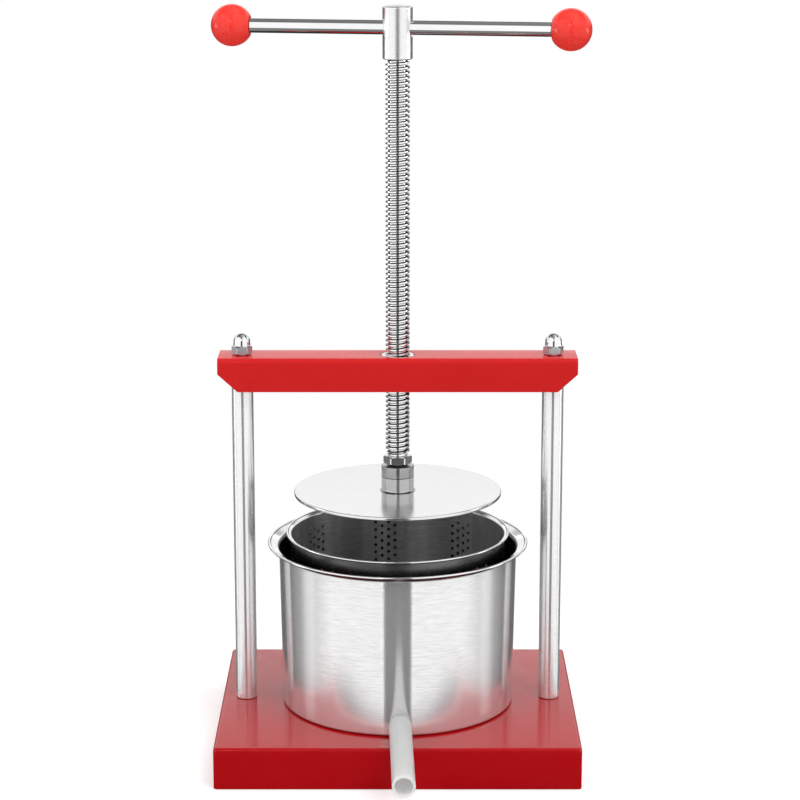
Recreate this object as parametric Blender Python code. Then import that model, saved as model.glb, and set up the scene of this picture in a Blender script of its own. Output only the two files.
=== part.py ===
"""A two-post fruit press: screw with a T bar, swivelling press plate, perforated basket and juice pot.

Lengths are metres, angles degrees, +Z up. The screw's axis is the vertical line through the frame's middle.
"""
import math

import bmesh
import bpy
from mathutils import Matrix

# Base: a folded steel tray, open underneath
BASE_WIDTH = 0.300
BASE_DEPTH = 0.250
BASE_HEIGHT = 0.035
BASE_SHEET = 0.0025
BASE_EDGE_RADIUS = 0.0025

# Posts: round bars with a threaded stud at each end
POST_DIAMETER = 0.018
POST_INSET = 0.0205
POST_SPACING = BASE_WIDTH - 2 * POST_INSET
POST_LENGTH = 0.2975
POST_CHAMFER = 0.001
STUD_DIAMETER = 0.010
STUD_TAIL = 0.003
STUD_RISE = 0.010

# Crossbeam: an inverted channel of bent sheet with its lower end corners cut off
BEAM_OVERHANG = 0.0195
BEAM_LENGTH = POST_SPACING + 2 * BEAM_OVERHANG
BEAM_HEIGHT = 0.028
BEAM_DEPTH = 0.040
BEAM_SHEET = 0.003
BEAM_BEND_RADIUS = 0.004
BEAM_CORNER_LENGTH = 0.0165
BEAM_CORNER_HEIGHT = 0.015

# Fasteners of the posts
POST_NUT_FLATS = 0.016
POST_NUT_HEIGHT = 0.008
CAP_NUT_HEIGHT = 0.018
CAP_NUT_DOME_DIAMETER = 0.0148
CAP_NUT_BORE_DEPTH = 0.0125
WASHER_DIAMETER = 0.020
WASHER_THICKNESS = 0.002
NUT_CHAMFER_SHARE = 0.94

# Screw: trapezoidal thread, with a plain spigot above and a slimmer neck below
SCREW_DIAMETER = 0.020
THREAD_PITCH = 0.004
THREAD_DEPTH = 0.00225
THREAD_CREST_SHARE = 0.366
THREAD_FLANK_DEGREES = 15.0
THREAD_LENGTH = 0.330
THREAD_STEPS = 8
NECK_DIAMETER = 0.014

# Threaded bush that carries the screw in the crossbeam
BUSH_SPIGOT_DIAMETER = 0.0275
BUSH_BODY_DIAMETER = 0.032
BUSH_STEPS = 16
THREAD_RADIAL_CLEARANCE = 0.0004
THREAD_AXIAL_CLEARANCE = 0.00025

# Head that holds the T bar
HEAD_DIAMETER = 0.0245
HEAD_HEIGHT = 0.0428
HEAD_EDGE_RADIUS = 0.0015
HEAD_SPIGOT_DEPTH = 0.016
HEAD_BAR_HEIGHT = 0.0254

# T bar and its ball knobs
BAR_DIAMETER = 0.012
BAR_TURN_DEGREES = -9.0
BAR_SHIFT = 0.0017
BAR_SPIGOT_DIAMETER = 0.008
BAR_SPIGOT_LENGTH = 0.013
KNOB_DIAMETER = 0.035
KNOB_SPACING = 0.277
KNOB_FACE_DIAMETER = 0.017
KNOB_HOLE_EXTRA = 0.001

# Juice pot, which stands between the posts
POT_TURN_DEGREES = 1.2
POT_HEIGHT = 0.140
POT_SHEET = 0.001
POT_POST_CLEARANCE = 0.0109
POT_RIM_WIDTH = 0.0091
POT_TAPER = 0.0025
POT_CORNER_RADIUS = 0.006
POT_LIP_RADIUS = 0.003
POT_RIM_DIAMETER = POST_SPACING - POST_DIAMETER - 2 * POT_POST_CLEARANCE
POT_TOP_DIAMETER = POT_RIM_DIAMETER - 2 * POT_RIM_WIDTH
POT_BOTTOM_DIAMETER = POT_TOP_DIAMETER - 2 * POT_TAPER

# Outlet: a welded stub with a push-on tube
OUTLET_HEIGHT = 0.0107
STUB_DIAMETER = 0.0136
STUB_WALL = 0.0012
STUB_LENGTH = 0.032
STUB_REACH_INSIDE = 0.002
TUBE_DIAMETER = 0.0184
TUBE_WALL = 0.002
TUBE_LENGTH = 0.1355

# Perforated basket, with room for the juice between it and the pot
BASKET_HEIGHT = 0.147
BASKET_SHEET = 0.001
JUICE_GAP = 0.0065
BASKET_RIM_WIDTH = 0.00465
BASKET_INSIDE_DIAMETER = POT_BOTTOM_DIAMETER - 2 * (POT_SHEET + JUICE_GAP + BASKET_SHEET)
BASKET_RIM_DIAMETER = BASKET_INSIDE_DIAMETER + 2 * BASKET_RIM_WIDTH
BASKET_CORNER_RADIUS = 0.004
BASKET_LIP_RADIUS = 0.002
RIM_LIP_DROP = 0.0022
RIM_LIP_THICKNESS = 0.0015
HOLE_DIAMETER = 0.0024
HOLE_GROUPS = 8
HOLE_COLUMNS = 4
HOLE_ROWS = 3
HOLE_COLUMN_PITCH = 0.0058
HOLE_ROW_PITCH = 0.0342
HOLE_TOP_MARGIN = 0.022
HOLE_GROUP_START_DEGREES = -5.9

# Press plate, which goes down into the basket, and the swivel that joins it to the screw
PLATE_CLEARANCE = 0.00235
PLATE_DIAMETER = BASKET_INSIDE_DIAMETER - 2 * PLATE_CLEARANCE
PLATE_THICKNESS = 0.003
PLATE_EDGE_RADIUS = 0.001
PLATE_REST_HEIGHT = 0.184
HUB_DIAMETER = 0.0275
HUB_SOCKET_HEIGHT = 0.0117
HUB_FLOOR = 0.0025
HUB_BORE_DIAMETER = 0.0208
HUB_COLLAR_DIAMETER = 0.0242
HUB_WELD_WIDTH = 0.0012
SWIVEL_CAP_HEIGHT = 0.0095
CAP_CHAMFER = 0.001
THRUST_WASHER_THICKNESS = 0.0015
FOOT_HEIGHT = 0.010
LOCK_NUT_FLATS = 0.021
LOCK_NUT_HEIGHT = 0.0083

# Clearances and cutting overrun
SEAT_GAP = 0.0003
PLAY = 0.0003
OVERRUN = 0.002

# Facets of round pieces and angles of their edges
LARGE_STEPS = 40
SMALL_STEPS = 18
KNOB_STEPS = 8
BEND_STEPS = 2
HOLE_STEPS = 6
SHARP_DEGREES = 40
NUT_CHAMFER_DEGREES = 30

# Heights that follow from the sizes above
BEAM_TOP = BASE_HEIGHT + POST_LENGTH + BEAM_SHEET
BEAM_BOTTOM = BEAM_TOP - BEAM_HEIGHT
PLATE_TOP = BASE_HEIGHT + PLATE_REST_HEIGHT
HUB_BOTTOM = PLATE_TOP + SEAT_GAP
HUB_SEAM = HUB_BOTTOM + HUB_SOCKET_HEIGHT
WASHER_BOTTOM = HUB_BOTTOM + HUB_FLOOR + PLAY
FOOT_BOTTOM = WASHER_BOTTOM + THRUST_WASHER_THICKNESS + PLAY
FOOT_TOP = FOOT_BOTTOM + FOOT_HEIGHT
CAP_TOP = HUB_SEAM + SEAT_GAP + SWIVEL_CAP_HEIGHT
LOCK_NUT_BOTTOM = CAP_TOP + PLAY
THREAD_START = LOCK_NUT_BOTTOM + LOCK_NUT_HEIGHT + SEAT_GAP
THREAD_END = THREAD_START + THREAD_LENGTH
HEAD_BOTTOM = THREAD_END + SEAT_GAP
BAR_CENTRE = HEAD_BOTTOM + HEAD_BAR_HEIGHT
POT_BOTTOM = BASE_HEIGHT + SEAT_GAP
BASKET_BOTTOM = POT_BOTTOM + POT_SHEET + SEAT_GAP
POT_DRAFT = (POT_TOP_DIAMETER - POT_BOTTOM_DIAMETER) / 2 / POT_HEIGHT
WALL_AT_OUTLET = POT_BOTTOM_DIAMETER / 2 + POT_DRAFT * OUTLET_HEIGHT
TUBE_START = WALL_AT_OUTLET + SEAT_GAP
TUBE_END = TUBE_START + TUBE_LENGTH

# The origin lies under the middle of the whole press, from the base's back edge to the tube's end
AXIS_Y = (TUBE_END * math.cos(math.radians(POT_TURN_DEGREES)) - BASE_DEPTH / 2) / 2
THREAD_CORE = SCREW_DIAMETER / 2 - THREAD_DEPTH


def clear_scene():
    """Remove every object that the scene starts with."""
    for thing in list(bpy.data.objects):
        bpy.data.objects.remove(thing, do_unlink=True)


def material(name, colour, roughness, metallic):
    """A plain surface with the piece's colour, roughness and metallic value."""
    surface = bpy.data.materials.new(name)
    surface.use_nodes = True
    shader = surface.node_tree.nodes["Principled BSDF"]
    shader.inputs["Base Color"].default_value = (*colour, 1.0)
    shader.inputs["Roughness"].default_value = roughness
    shader.inputs["Metallic"].default_value = metallic
    return surface


def axis_empty(name, parent=None, location=(0, 0, 0), turn=(0, 0, 0)):
    """An empty that stands on an axis of the press and carries the pieces around it."""
    empty = bpy.data.objects.new(name, None)
    empty.location = location
    empty.rotation_euler = [math.radians(angle) for angle in turn]
    empty.parent = parent
    bpy.context.scene.collection.objects.link(empty)
    return empty


def piece(name, bm, surface, parent, location=(0, 0, 0), smooth=True, mesh=None):
    """Finish a mesh as one named piece, closed and facing out."""
    if mesh is None:
        bmesh.ops.recalc_face_normals(bm, faces=bm.faces)
        mesh = bpy.data.meshes.new(name)
        bm.to_mesh(mesh)
        bm.free()
        mesh.materials.append(surface)
        if smooth:
            mesh.shade_smooth()
            mesh.set_sharp_from_angle(angle=math.radians(SHARP_DEGREES))
    made = bpy.data.objects.new(name, mesh)
    made.location = location
    made.parent = parent
    bpy.context.scene.collection.objects.link(made)
    return made


def cutter(name, bm, parent, location=(0, 0, 0), turn=(0, 0, 0)):
    """A shape that only cuts others, hidden from the finished press."""
    made = piece(name, bm, None, parent, location, smooth=False)
    made.rotation_euler = [math.radians(angle) for angle in turn]
    made.hide_render = True
    made.display_type = "WIRE"
    return made


def cut(target, tool):
    """Subtract a cutter from a piece."""
    boolean = target.modifiers.new(tool.name, "BOOLEAN")
    boolean.operation = "DIFFERENCE"
    boolean.solver = "EXACT"
    boolean.object = tool


def face_of(bm, corners):
    """A face through the distinct corners, if there are at least three."""
    kept = []
    for corner in corners:
        if corner not in kept:
            kept.append(corner)
    if len(kept) > 2:
        bm.faces.new(kept)


def ring_of(bm, points):
    """A ring of vertices round the axis from one radius and height for each step."""
    steps = len(points)
    verts = []
    for index, (radius, height) in enumerate(points):
        angle = 2 * math.pi * index / steps
        verts.append(bm.verts.new((radius * math.cos(angle), radius * math.sin(angle), height)))
    return verts


def round_ring(bm, radius, height, steps):
    """A round ring, or steps copies of one vertex where the radius is zero."""
    if radius == 0:
        return [bm.verts.new((0, 0, height))] * steps
    return ring_of(bm, [(radius, height)] * steps)


def join_rings(bm, first, second):
    """Faces between two rings that have the same number of steps."""
    steps = len(first)
    for index in range(steps):
        following = (index + 1) % steps
        face_of(bm, (first[index], first[following], second[following], second[index]))


def join_all(bm, rings, closed):
    """Faces between each ring and the next, and from the last to the first where closed."""
    for first, second in zip(rings, rings[1:]):
        join_rings(bm, first, second)
    if closed:
        join_rings(bm, rings[-1], rings[0])


def turned(outline, steps):
    """A turned body from its outline of radius and height points.

    The outline runs from axis to axis, or else round a ring-shaped section.
    """
    bm = bmesh.new()
    rings = [round_ring(bm, radius, height, steps) for radius, height in outline]
    join_all(bm, rings, closed=outline[0][0] > 0)
    return bm


def arc(centre_radius, centre_height, radius, start, end, steps=BEND_STEPS):
    """Points of a round corner in an outline, from one angle to another."""
    points = []
    for index in range(steps + 1):
        angle = math.radians(start + (end - start) * index / steps)
        points.append((centre_radius + radius * math.cos(angle), centre_height + radius * math.sin(angle)))
    return points


def tube_outline(outer, inner, low, high):
    """Outline of a plain tube."""
    return [(inner, low), (outer, low), (outer, high), (inner, high)]


def extruded(outline, low, high):
    """A prism along x whose section is given as y and z points."""
    bm = bmesh.new()
    near = [bm.verts.new((low, y, z)) for y, z in outline]
    far = [bm.verts.new((high, y, z)) for y, z in outline]
    join_rings(bm, near, far)
    bm.faces.new(near)
    bm.faces.new(far)
    return bm


def add_rod(bm, radius, low, high, steps, matrix=Matrix.Identity(4)):
    """Add a closed round rod along z, moved by the matrix."""
    outline = [(0, low), (radius, low), (radius, high), (0, high)]
    rings = [round_ring(bm, reach, height, steps) for reach, height in outline]
    join_all(bm, rings, closed=False)
    verts = {vert for ring in rings for vert in ring}
    bmesh.ops.transform(bm, matrix=matrix, verts=list(verts))


def rod(radius, low, high, steps):
    """A plain round rod along z."""
    bm = bmesh.new()
    add_rod(bm, radius, low, high, steps)
    return bm


def hexagon_radius(flats, index, steps):
    """Distance from the axis to a hexagon's side in the direction of a step."""
    sector = 2 * math.pi * index / steps % (math.pi / 3) - math.pi / 6
    return flats / 2 / math.cos(sector)


def hexagon_rings(bm, flats, low, high, steps):
    """Rings of a hexagonal body whose corners are chamfered at both ends."""
    face_radius = flats / 2 * NUT_CHAMFER_SHARE
    slope = math.tan(math.radians(NUT_CHAMFER_DEGREES))
    radii = [hexagon_radius(flats, index, steps) for index in range(steps)]
    lower = [(radius, low + (radius - face_radius) * slope) for radius in radii]
    upper = [(radius, high - (radius - face_radius) * slope) for radius in radii]
    return [
        round_ring(bm, face_radius, low, steps),
        ring_of(bm, lower),
        ring_of(bm, upper),
        round_ring(bm, face_radius, high, steps),
    ]


def hexagon_nut(flats, bore_radius, height):
    """A hexagon nut with a plain bore."""
    bm = bmesh.new()
    rings = hexagon_rings(bm, flats, 0, height, SMALL_STEPS)
    rings.append(round_ring(bm, bore_radius, height, SMALL_STEPS))
    rings.append(round_ring(bm, bore_radius, 0, SMALL_STEPS))
    join_all(bm, rings, closed=True)
    return bm


def cap_nut(flats, height, bore_radius):
    """A domed nut with a blind bore, standing on z zero."""
    bm = bmesh.new()
    rings = hexagon_rings(bm, flats, 0, POST_NUT_HEIGHT, SMALL_STEPS)
    dome_radius = CAP_NUT_DOME_DIAMETER / 2
    dome_base = height - dome_radius
    outline = arc(0, dome_base, dome_radius, 0, 90, 2 * BEND_STEPS)
    outline[-1] = (0, height)
    outline.insert(0, (dome_radius, POST_NUT_HEIGHT + SEAT_GAP))
    rings += [round_ring(bm, radius, level, SMALL_STEPS) for radius, level in outline]
    join_all(bm, rings, closed=False)
    bore = [(bore_radius, 0), (bore_radius, CAP_NUT_BORE_DEPTH), (0, CAP_NUT_BORE_DEPTH + bore_radius / 2)]
    inner = [round_ring(bm, radius, level, SMALL_STEPS) for radius, level in bore]
    join_all(bm, inner, closed=False)
    join_rings(bm, rings[0], inner[0])
    return bm


def thread_surface(bm, profile, start, end, end_radius, crest_height, steps):
    """A helical surface from start to end that runs out to a plain ring at both ends.

    The profile gives radius and height for the four corners of one pitch, counted from the crest's middle.
    Returns the ring of vertices at the start and the one at the end.
    """
    bottom = round_ring(bm, end_radius, start, steps)
    top = round_ring(bm, end_radius, end, steps)
    first_turn = math.floor((start - crest_height) / THREAD_PITCH) - 2
    last_turn = math.ceil((end - crest_height) / THREAD_PITCH) + 2
    columns = []
    for index in range(steps):
        angle = 2 * math.pi * index / steps
        lead = crest_height + THREAD_PITCH * index / steps
        column = []
        for turn in range(first_turn, last_turn):
            for radius, offset in profile:
                height = lead + turn * THREAD_PITCH + offset
                if height <= start:
                    column.append(bottom[index])
                elif height >= end:
                    column.append(top[index])
                else:
                    fade = min(1, min(height - start, end - height) / (THREAD_PITCH / 2))
                    reach = end_radius + (radius - end_radius) * fade
                    place = (reach * math.cos(angle), reach * math.sin(angle), height)
                    column.append(bm.verts.new(place))
        columns.append(column)
    columns.append(columns[0][len(profile):])
    for near, far in zip(columns, columns[1:]):
        for level in range(len(far) - 1):
            face_of(bm, (near[level], far[level], far[level + 1], near[level + 1]))
    return bottom, top


def thread_profile(outer, inner, widening):
    """Corners of one pitch of the thread between two radii, with its flanks moved apart by the widening."""
    slope = math.tan(math.radians(THREAD_FLANK_DEGREES))
    half_crest = THREAD_PITCH * THREAD_CREST_SHARE / 2 + widening
    outer_half = half_crest + (SCREW_DIAMETER / 2 - outer) * slope
    inner_half = half_crest + (SCREW_DIAMETER / 2 - inner) * slope
    return [
        (outer, -outer_half),
        (outer, outer_half),
        (inner, inner_half),
        (inner, THREAD_PITCH - inner_half),
    ]


def make_base(surface, parent):
    """The tray: outer block with rounded edges, hollowed from below, with two stud holes."""
    bm = bmesh.new()
    middle = Matrix.Translation((0, 0, BASE_HEIGHT / 2))
    outside = Matrix.Diagonal((BASE_WIDTH, BASE_DEPTH, BASE_HEIGHT, 1))
    bmesh.ops.create_cube(bm, size=1, matrix=middle @ outside)
    rounded = [edge for edge in bm.edges if max(vert.co.z for vert in edge.verts) > BASE_HEIGHT / 2]
    radius = BASE_EDGE_RADIUS
    bmesh.ops.bevel(bm, geom=rounded, offset=radius, segments=BEND_STEPS, profile=0.5, affect="EDGES")
    base = piece("base", bm, surface, parent)
    hollow = bmesh.new()
    inside = Matrix.Diagonal((BASE_WIDTH - 2 * BASE_SHEET, BASE_DEPTH - 2 * BASE_SHEET, BASE_HEIGHT, 1))
    lowered = Matrix.Translation((0, 0, BASE_HEIGHT / 2 - BASE_SHEET))
    bmesh.ops.create_cube(hollow, size=1, matrix=lowered @ inside)
    cut(base, cutter("base_hollow_cutter", hollow, parent))
    holes = bmesh.new()
    for side in (-1, 1):
        add_rod(holes, STUD_DIAMETER / 2 + PLAY, BASE_HEIGHT - BASE_SHEET - OVERRUN, BASE_HEIGHT + OVERRUN,
                SMALL_STEPS, Matrix.Translation((side * POST_SPACING / 2, 0, 0)))
    cut(base, cutter("base_stud_cutter", holes, parent))


def make_posts(surface, parent):
    """Two posts, each shouldered on the base and under the crossbeam."""
    stud = STUD_DIAMETER / 2
    body = POST_DIAMETER / 2
    low = BASE_HEIGHT + SEAT_GAP
    high = BEAM_TOP - BEAM_SHEET - SEAT_GAP
    tail = BASE_HEIGHT - BASE_SHEET - WASHER_THICKNESS - POST_NUT_HEIGHT - 3 * SEAT_GAP - STUD_TAIL
    tip = BEAM_TOP + STUD_RISE
    outline = [
        (0, tail), (stud - POST_CHAMFER, tail), (stud, tail + POST_CHAMFER), (stud, low),
        (body - POST_CHAMFER / 2, low), (body, low + POST_CHAMFER / 2),
        (body, high - POST_CHAMFER / 2), (body - POST_CHAMFER / 2, high),
        (stud, high), (stud, tip - POST_CHAMFER), (stud - POST_CHAMFER, tip), (0, tip),
    ]
    left = piece("post_left", turned(outline, SMALL_STEPS), surface, parent, (-POST_SPACING / 2, 0, 0))
    piece("post_right", None, surface, parent, (POST_SPACING / 2, 0, 0), mesh=left.data)


def make_post_fasteners(surface, parent):
    """Cap nuts over the crossbeam, washers and nuts under the base."""
    bore = STUD_DIAMETER / 2 + PLAY
    washer_top = BASE_HEIGHT - BASE_SHEET - SEAT_GAP
    washer_bottom = washer_top - WASHER_THICKNESS
    nut_bottom = washer_bottom - SEAT_GAP - POST_NUT_HEIGHT
    washer = tube_outline(WASHER_DIAMETER / 2, bore, 0, WASHER_THICKNESS)
    shapes = {
        "cap_nut": (cap_nut(POST_NUT_FLATS, CAP_NUT_HEIGHT, bore), BEAM_TOP + SEAT_GAP),
        "post_washer": (turned(washer, SMALL_STEPS), washer_bottom),
        "post_nut": (hexagon_nut(POST_NUT_FLATS, bore, POST_NUT_HEIGHT), nut_bottom),
    }
    for name, (bm, height) in shapes.items():
        left = piece(name + "_left", bm, surface, parent, (-POST_SPACING / 2, 0, height))
        piece(name + "_right", None, surface, parent, (POST_SPACING / 2, 0, height), mesh=left.data)


def make_crossbeam(surface, parent):
    """The channel, open below, with its end corners, bush hole and stud holes cut out."""
    half = BEAM_DEPTH / 2
    bend = BEAM_BEND_RADIUS
    outline = [(half, 0)]
    outline += arc(half - bend, BEAM_HEIGHT - bend, bend, 0, 90)
    outline += arc(bend - half, BEAM_HEIGHT - bend, bend, 90, 180)
    outline += [(-half, 0), (BEAM_SHEET - half, 0), (BEAM_SHEET - half, BEAM_HEIGHT - BEAM_SHEET)]
    outline += [(half - BEAM_SHEET, BEAM_HEIGHT - BEAM_SHEET), (half - BEAM_SHEET, 0)]
    bm = extruded(outline, -BEAM_LENGTH / 2, BEAM_LENGTH / 2)
    beam = piece("crossbeam", bm, surface, parent, (0, 0, BEAM_BOTTOM))
    for name, turn in (("right", 90), ("left", -90)):
        run = OVERRUN * BEAM_CORNER_LENGTH / BEAM_CORNER_HEIGHT
        rise = OVERRUN * BEAM_CORNER_HEIGHT / BEAM_CORNER_LENGTH
        tip = -BEAM_LENGTH / 2
        corner = [(tip + BEAM_CORNER_LENGTH + run, -OVERRUN), (tip - OVERRUN, -OVERRUN),
                  (tip - OVERRUN, BEAM_CORNER_HEIGHT + rise)]
        wedge = extruded(corner, -half - OVERRUN, half + OVERRUN)
        cut(beam, cutter(f"corner_cutter_{name}", wedge, parent, (0, 0, BEAM_BOTTOM), (0, 0, turn)))
    holes = bmesh.new()
    low = BEAM_TOP - BEAM_SHEET - OVERRUN
    high = BEAM_TOP + OVERRUN
    add_rod(holes, BUSH_SPIGOT_DIAMETER / 2 + SEAT_GAP, low, high, LARGE_STEPS)
    for side in (-1, 1):
        place = Matrix.Translation((side * POST_SPACING / 2, 0, 0))
        add_rod(holes, STUD_DIAMETER / 2 + PLAY, low, high, SMALL_STEPS, place)
    cut(beam, cutter("beam_hole_cutter", holes, parent))


def make_screw_bush(surface, parent):
    """The threaded bush: a spigot through the crossbeam's web and a wider body under it."""
    bm = bmesh.new()
    outer = SCREW_DIAMETER / 2 + THREAD_RADIAL_CLEARANCE
    inner = THREAD_CORE + THREAD_RADIAL_CLEARANCE
    profile = thread_profile(outer, inner, THREAD_AXIAL_CLEARANCE)
    shoulder = BEAM_TOP - BEAM_SHEET - SEAT_GAP
    bottom, top = thread_surface(bm, profile, BEAM_BOTTOM, BEAM_TOP, outer, THREAD_START, BUSH_STEPS)
    spigot = BUSH_SPIGOT_DIAMETER / 2
    body = BUSH_BODY_DIAMETER / 2
    outline = [(spigot, BEAM_TOP), (spigot, shoulder), (body, shoulder), (body, BEAM_BOTTOM)]
    rings = [top] + [round_ring(bm, radius, height, BUSH_STEPS) for radius, height in outline] + [bottom]
    join_all(bm, rings, closed=False)
    piece("screw_bush", bm, surface, parent)


def make_screw(surface, parent):
    """The screw: neck, thread and the spigot that enters the head."""
    bm = bmesh.new()
    start = THREAD_START - FOOT_BOTTOM
    end = THREAD_END - FOOT_BOTTOM
    profile = thread_profile(SCREW_DIAMETER / 2, THREAD_CORE, 0)
    bottom, top = thread_surface(bm, profile, start, end, THREAD_CORE, start, THREAD_STEPS)
    neck = NECK_DIAMETER / 2
    spigot_top = end + HEAD_SPIGOT_DEPTH
    lower = [(0, 0), (neck - POST_CHAMFER, 0), (neck, POST_CHAMFER), (neck, start)]
    upper = [(THREAD_CORE, spigot_top), (0, spigot_top)]
    below = [round_ring(bm, radius, height, THREAD_STEPS) for radius, height in lower] + [bottom]
    above = [top] + [round_ring(bm, radius, height, THREAD_STEPS) for radius, height in upper]
    join_all(bm, below, closed=False)
    join_all(bm, above, closed=False)
    piece("press_screw", bm, surface, parent, (0, 0, FOOT_BOTTOM))


def make_screw_fittings(steel, dark_steel, parent):
    """The lock nut under the thread and the round foot that turns inside the hub."""
    bore = NECK_DIAMETER / 2 + SEAT_GAP
    nut = hexagon_nut(LOCK_NUT_FLATS, bore, LOCK_NUT_HEIGHT)
    piece("lock_nut", nut, steel, parent, (0, 0, LOCK_NUT_BOTTOM))
    radius = HUB_BORE_DIAMETER / 2 - 2 * PLAY
    foot = tube_outline(radius, bore, 0, FOOT_HEIGHT)
    piece("screw_foot", turned(foot, SMALL_STEPS), dark_steel, parent, (0, 0, FOOT_BOTTOM))


def make_head(surface, parent):
    """The head: bored below for the screw's spigot and across for the T bar."""
    radius = HEAD_DIAMETER / 2
    edge = HEAD_EDGE_RADIUS
    bore = THREAD_CORE + SEAT_GAP
    bore_top = HEAD_SPIGOT_DEPTH + SEAT_GAP
    outline = [(0, bore_top), (bore, bore_top), (bore, 0), (radius - edge / 2, 0), (radius, edge / 2)]
    outline += arc(radius - edge, HEAD_HEIGHT - edge, edge, 0, 90)
    outline.append((0, HEAD_HEIGHT))
    head = piece("screw_head", turned(outline, SMALL_STEPS), surface, parent, (0, 0, HEAD_BOTTOM))
    across = rod(BAR_DIAMETER / 2 + PLAY, -radius - OVERRUN, radius + OVERRUN, SMALL_STEPS)
    cut(head, cutter("bar_hole_cutter", across, parent, (0, 0, BAR_CENTRE), (0, 90, BAR_TURN_DEGREES)))


def make_bar(steel, red, parent):
    """The T bar along its own z axis, with a ball knob on each threaded end."""
    knob_radius = KNOB_DIAMETER / 2
    face = KNOB_FACE_DIAMETER / 2
    face_distance = math.sqrt(knob_radius ** 2 - face ** 2)
    reach = KNOB_SPACING / 2 - face_distance - SEAT_GAP
    body = BAR_DIAMETER / 2
    spigot = BAR_SPIGOT_DIAMETER / 2
    tip = reach + BAR_SPIGOT_LENGTH
    outline = [(0, -tip), (spigot, -tip), (spigot, -reach), (body, -reach), (body, reach), (spigot, reach),
               (spigot, tip), (0, tip)]
    piece("handle_bar", turned(outline, SMALL_STEPS), steel, parent, (0, 0, BAR_SHIFT))
    hole = spigot + PLAY
    hole_end = BAR_SPIGOT_LENGTH + KNOB_HOLE_EXTRA - face_distance
    start = math.degrees(math.asin(-face_distance / knob_radius))
    ball = arc(0, 0, knob_radius, start, 90, KNOB_STEPS)
    ball[-1] = (0, knob_radius)
    knob = [(0, hole_end), (hole, hole_end), (hole, -face_distance)] + ball
    half = KNOB_SPACING / 2
    right = piece("ball_knob_right", turned(knob, SMALL_STEPS), red, parent, (0, 0, BAR_SHIFT + half))
    left = piece("ball_knob_left", None, red, parent, (0, 0, BAR_SHIFT - half), mesh=right.data)
    left.rotation_euler = (math.pi, 0, 0)


def make_plate(surface, parent):
    """The flat press plate with softened edges."""
    radius = PLATE_DIAMETER / 2
    edge = PLATE_EDGE_RADIUS
    low = PLATE_TOP - PLATE_THICKNESS
    outline = [(0, low), (radius - edge, low)]
    outline += [(radius, low + edge), (radius, PLATE_TOP - edge), (radius - edge, PLATE_TOP), (0, PLATE_TOP)]
    piece("press_plate", turned(outline, LARGE_STEPS), surface, parent)


def make_hub(surface, parent):
    """The hub: a socket on the plate with a threaded cap that keeps the screw's foot inside."""
    outer = HUB_DIAMETER / 2
    bore = HUB_BORE_DIAMETER / 2
    collar = HUB_COLLAR_DIAMETER / 2
    floor = HUB_BOTTOM + HUB_FLOOR
    cap_inside = FOOT_TOP + PLAY
    collar_top = cap_inside - SEAT_GAP
    socket = [
        (0, HUB_BOTTOM), (outer + HUB_WELD_WIDTH, HUB_BOTTOM), (outer, HUB_BOTTOM + HUB_WELD_WIDTH),
        (outer, HUB_SEAM), (collar, HUB_SEAM), (collar, collar_top),
        (bore, collar_top), (bore, floor), (0, floor),
    ]
    piece("hub_socket", turned(socket, SMALL_STEPS), surface, parent)
    neck_bore = NECK_DIAMETER / 2 + 2 * PLAY
    cap_bottom = HUB_SEAM + SEAT_GAP
    cap = [
        (collar + PLAY, cap_bottom), (outer, cap_bottom), (outer, CAP_TOP - CAP_CHAMFER),
        (outer - CAP_CHAMFER, CAP_TOP), (neck_bore, CAP_TOP), (neck_bore, cap_inside),
        (collar + PLAY, cap_inside),
    ]
    piece("swivel_cap", turned(cap, SMALL_STEPS), surface, parent)


def make_thrust_washer(surface, parent):
    """The flat disc between the screw's foot and the hub's floor."""
    radius = HUB_BORE_DIAMETER / 2 - 2 * PLAY
    disc = rod(radius, 0, THRUST_WASHER_THICKNESS, SMALL_STEPS)
    piece("thrust_washer", disc, surface, parent, (0, 0, WASHER_BOTTOM))


def rim_outline(rim_radius, wall_radius, top, sheet, lip):
    """Outline of a flared rim, from the outside of the wall over the rolled edge to the inside."""
    edge = sheet / 2
    hook = rim_radius - RIM_LIP_THICKNESS
    outline = arc(wall_radius + lip, top - sheet - lip, lip, 180, 90)
    outline += [(hook, top - sheet), (hook, top - RIM_LIP_DROP), (rim_radius - edge, top - RIM_LIP_DROP)]
    outline += [(rim_radius, top - RIM_LIP_DROP + edge), (rim_radius, top - edge), (rim_radius - edge, top)]
    outline += arc(wall_radius + lip, top - sheet - lip, lip + sheet, 90, 180)
    return outline


def vessel(height, sheet, outer_bottom, outer_top, rim_radius, corner, lip):
    """Outline of a round sheet vessel with a rounded bottom corner and a flared rim, standing on z zero."""
    inner_corner = corner - sheet
    outline = [(0, 0)]
    outline += arc(outer_bottom - corner, corner, corner, -90, 0)
    outline += rim_outline(rim_radius, outer_top, height, sheet, lip)
    outline += arc(outer_bottom - corner, corner, inner_corner, 0, -90)
    outline.append((0, sheet))
    return outline


def make_pot(surface, parent):
    """The juice pot, with a hole for the outlet stub."""
    outline = vessel(POT_HEIGHT, POT_SHEET, POT_BOTTOM_DIAMETER / 2, POT_TOP_DIAMETER / 2,
                     POT_RIM_DIAMETER / 2, POT_CORNER_RADIUS, POT_LIP_RADIUS)
    pot = piece("juice_pot", turned(outline, LARGE_STEPS), surface, parent, (0, 0, POT_BOTTOM))
    hole = rod(STUB_DIAMETER / 2 + SEAT_GAP, WALL_AT_OUTLET / 2, TUBE_START + OVERRUN, SMALL_STEPS)
    cut(pot, cutter("outlet_cutter", hole, parent, (0, 0, POT_BOTTOM + OUTLET_HEIGHT), (90, 0, 0)))


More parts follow.
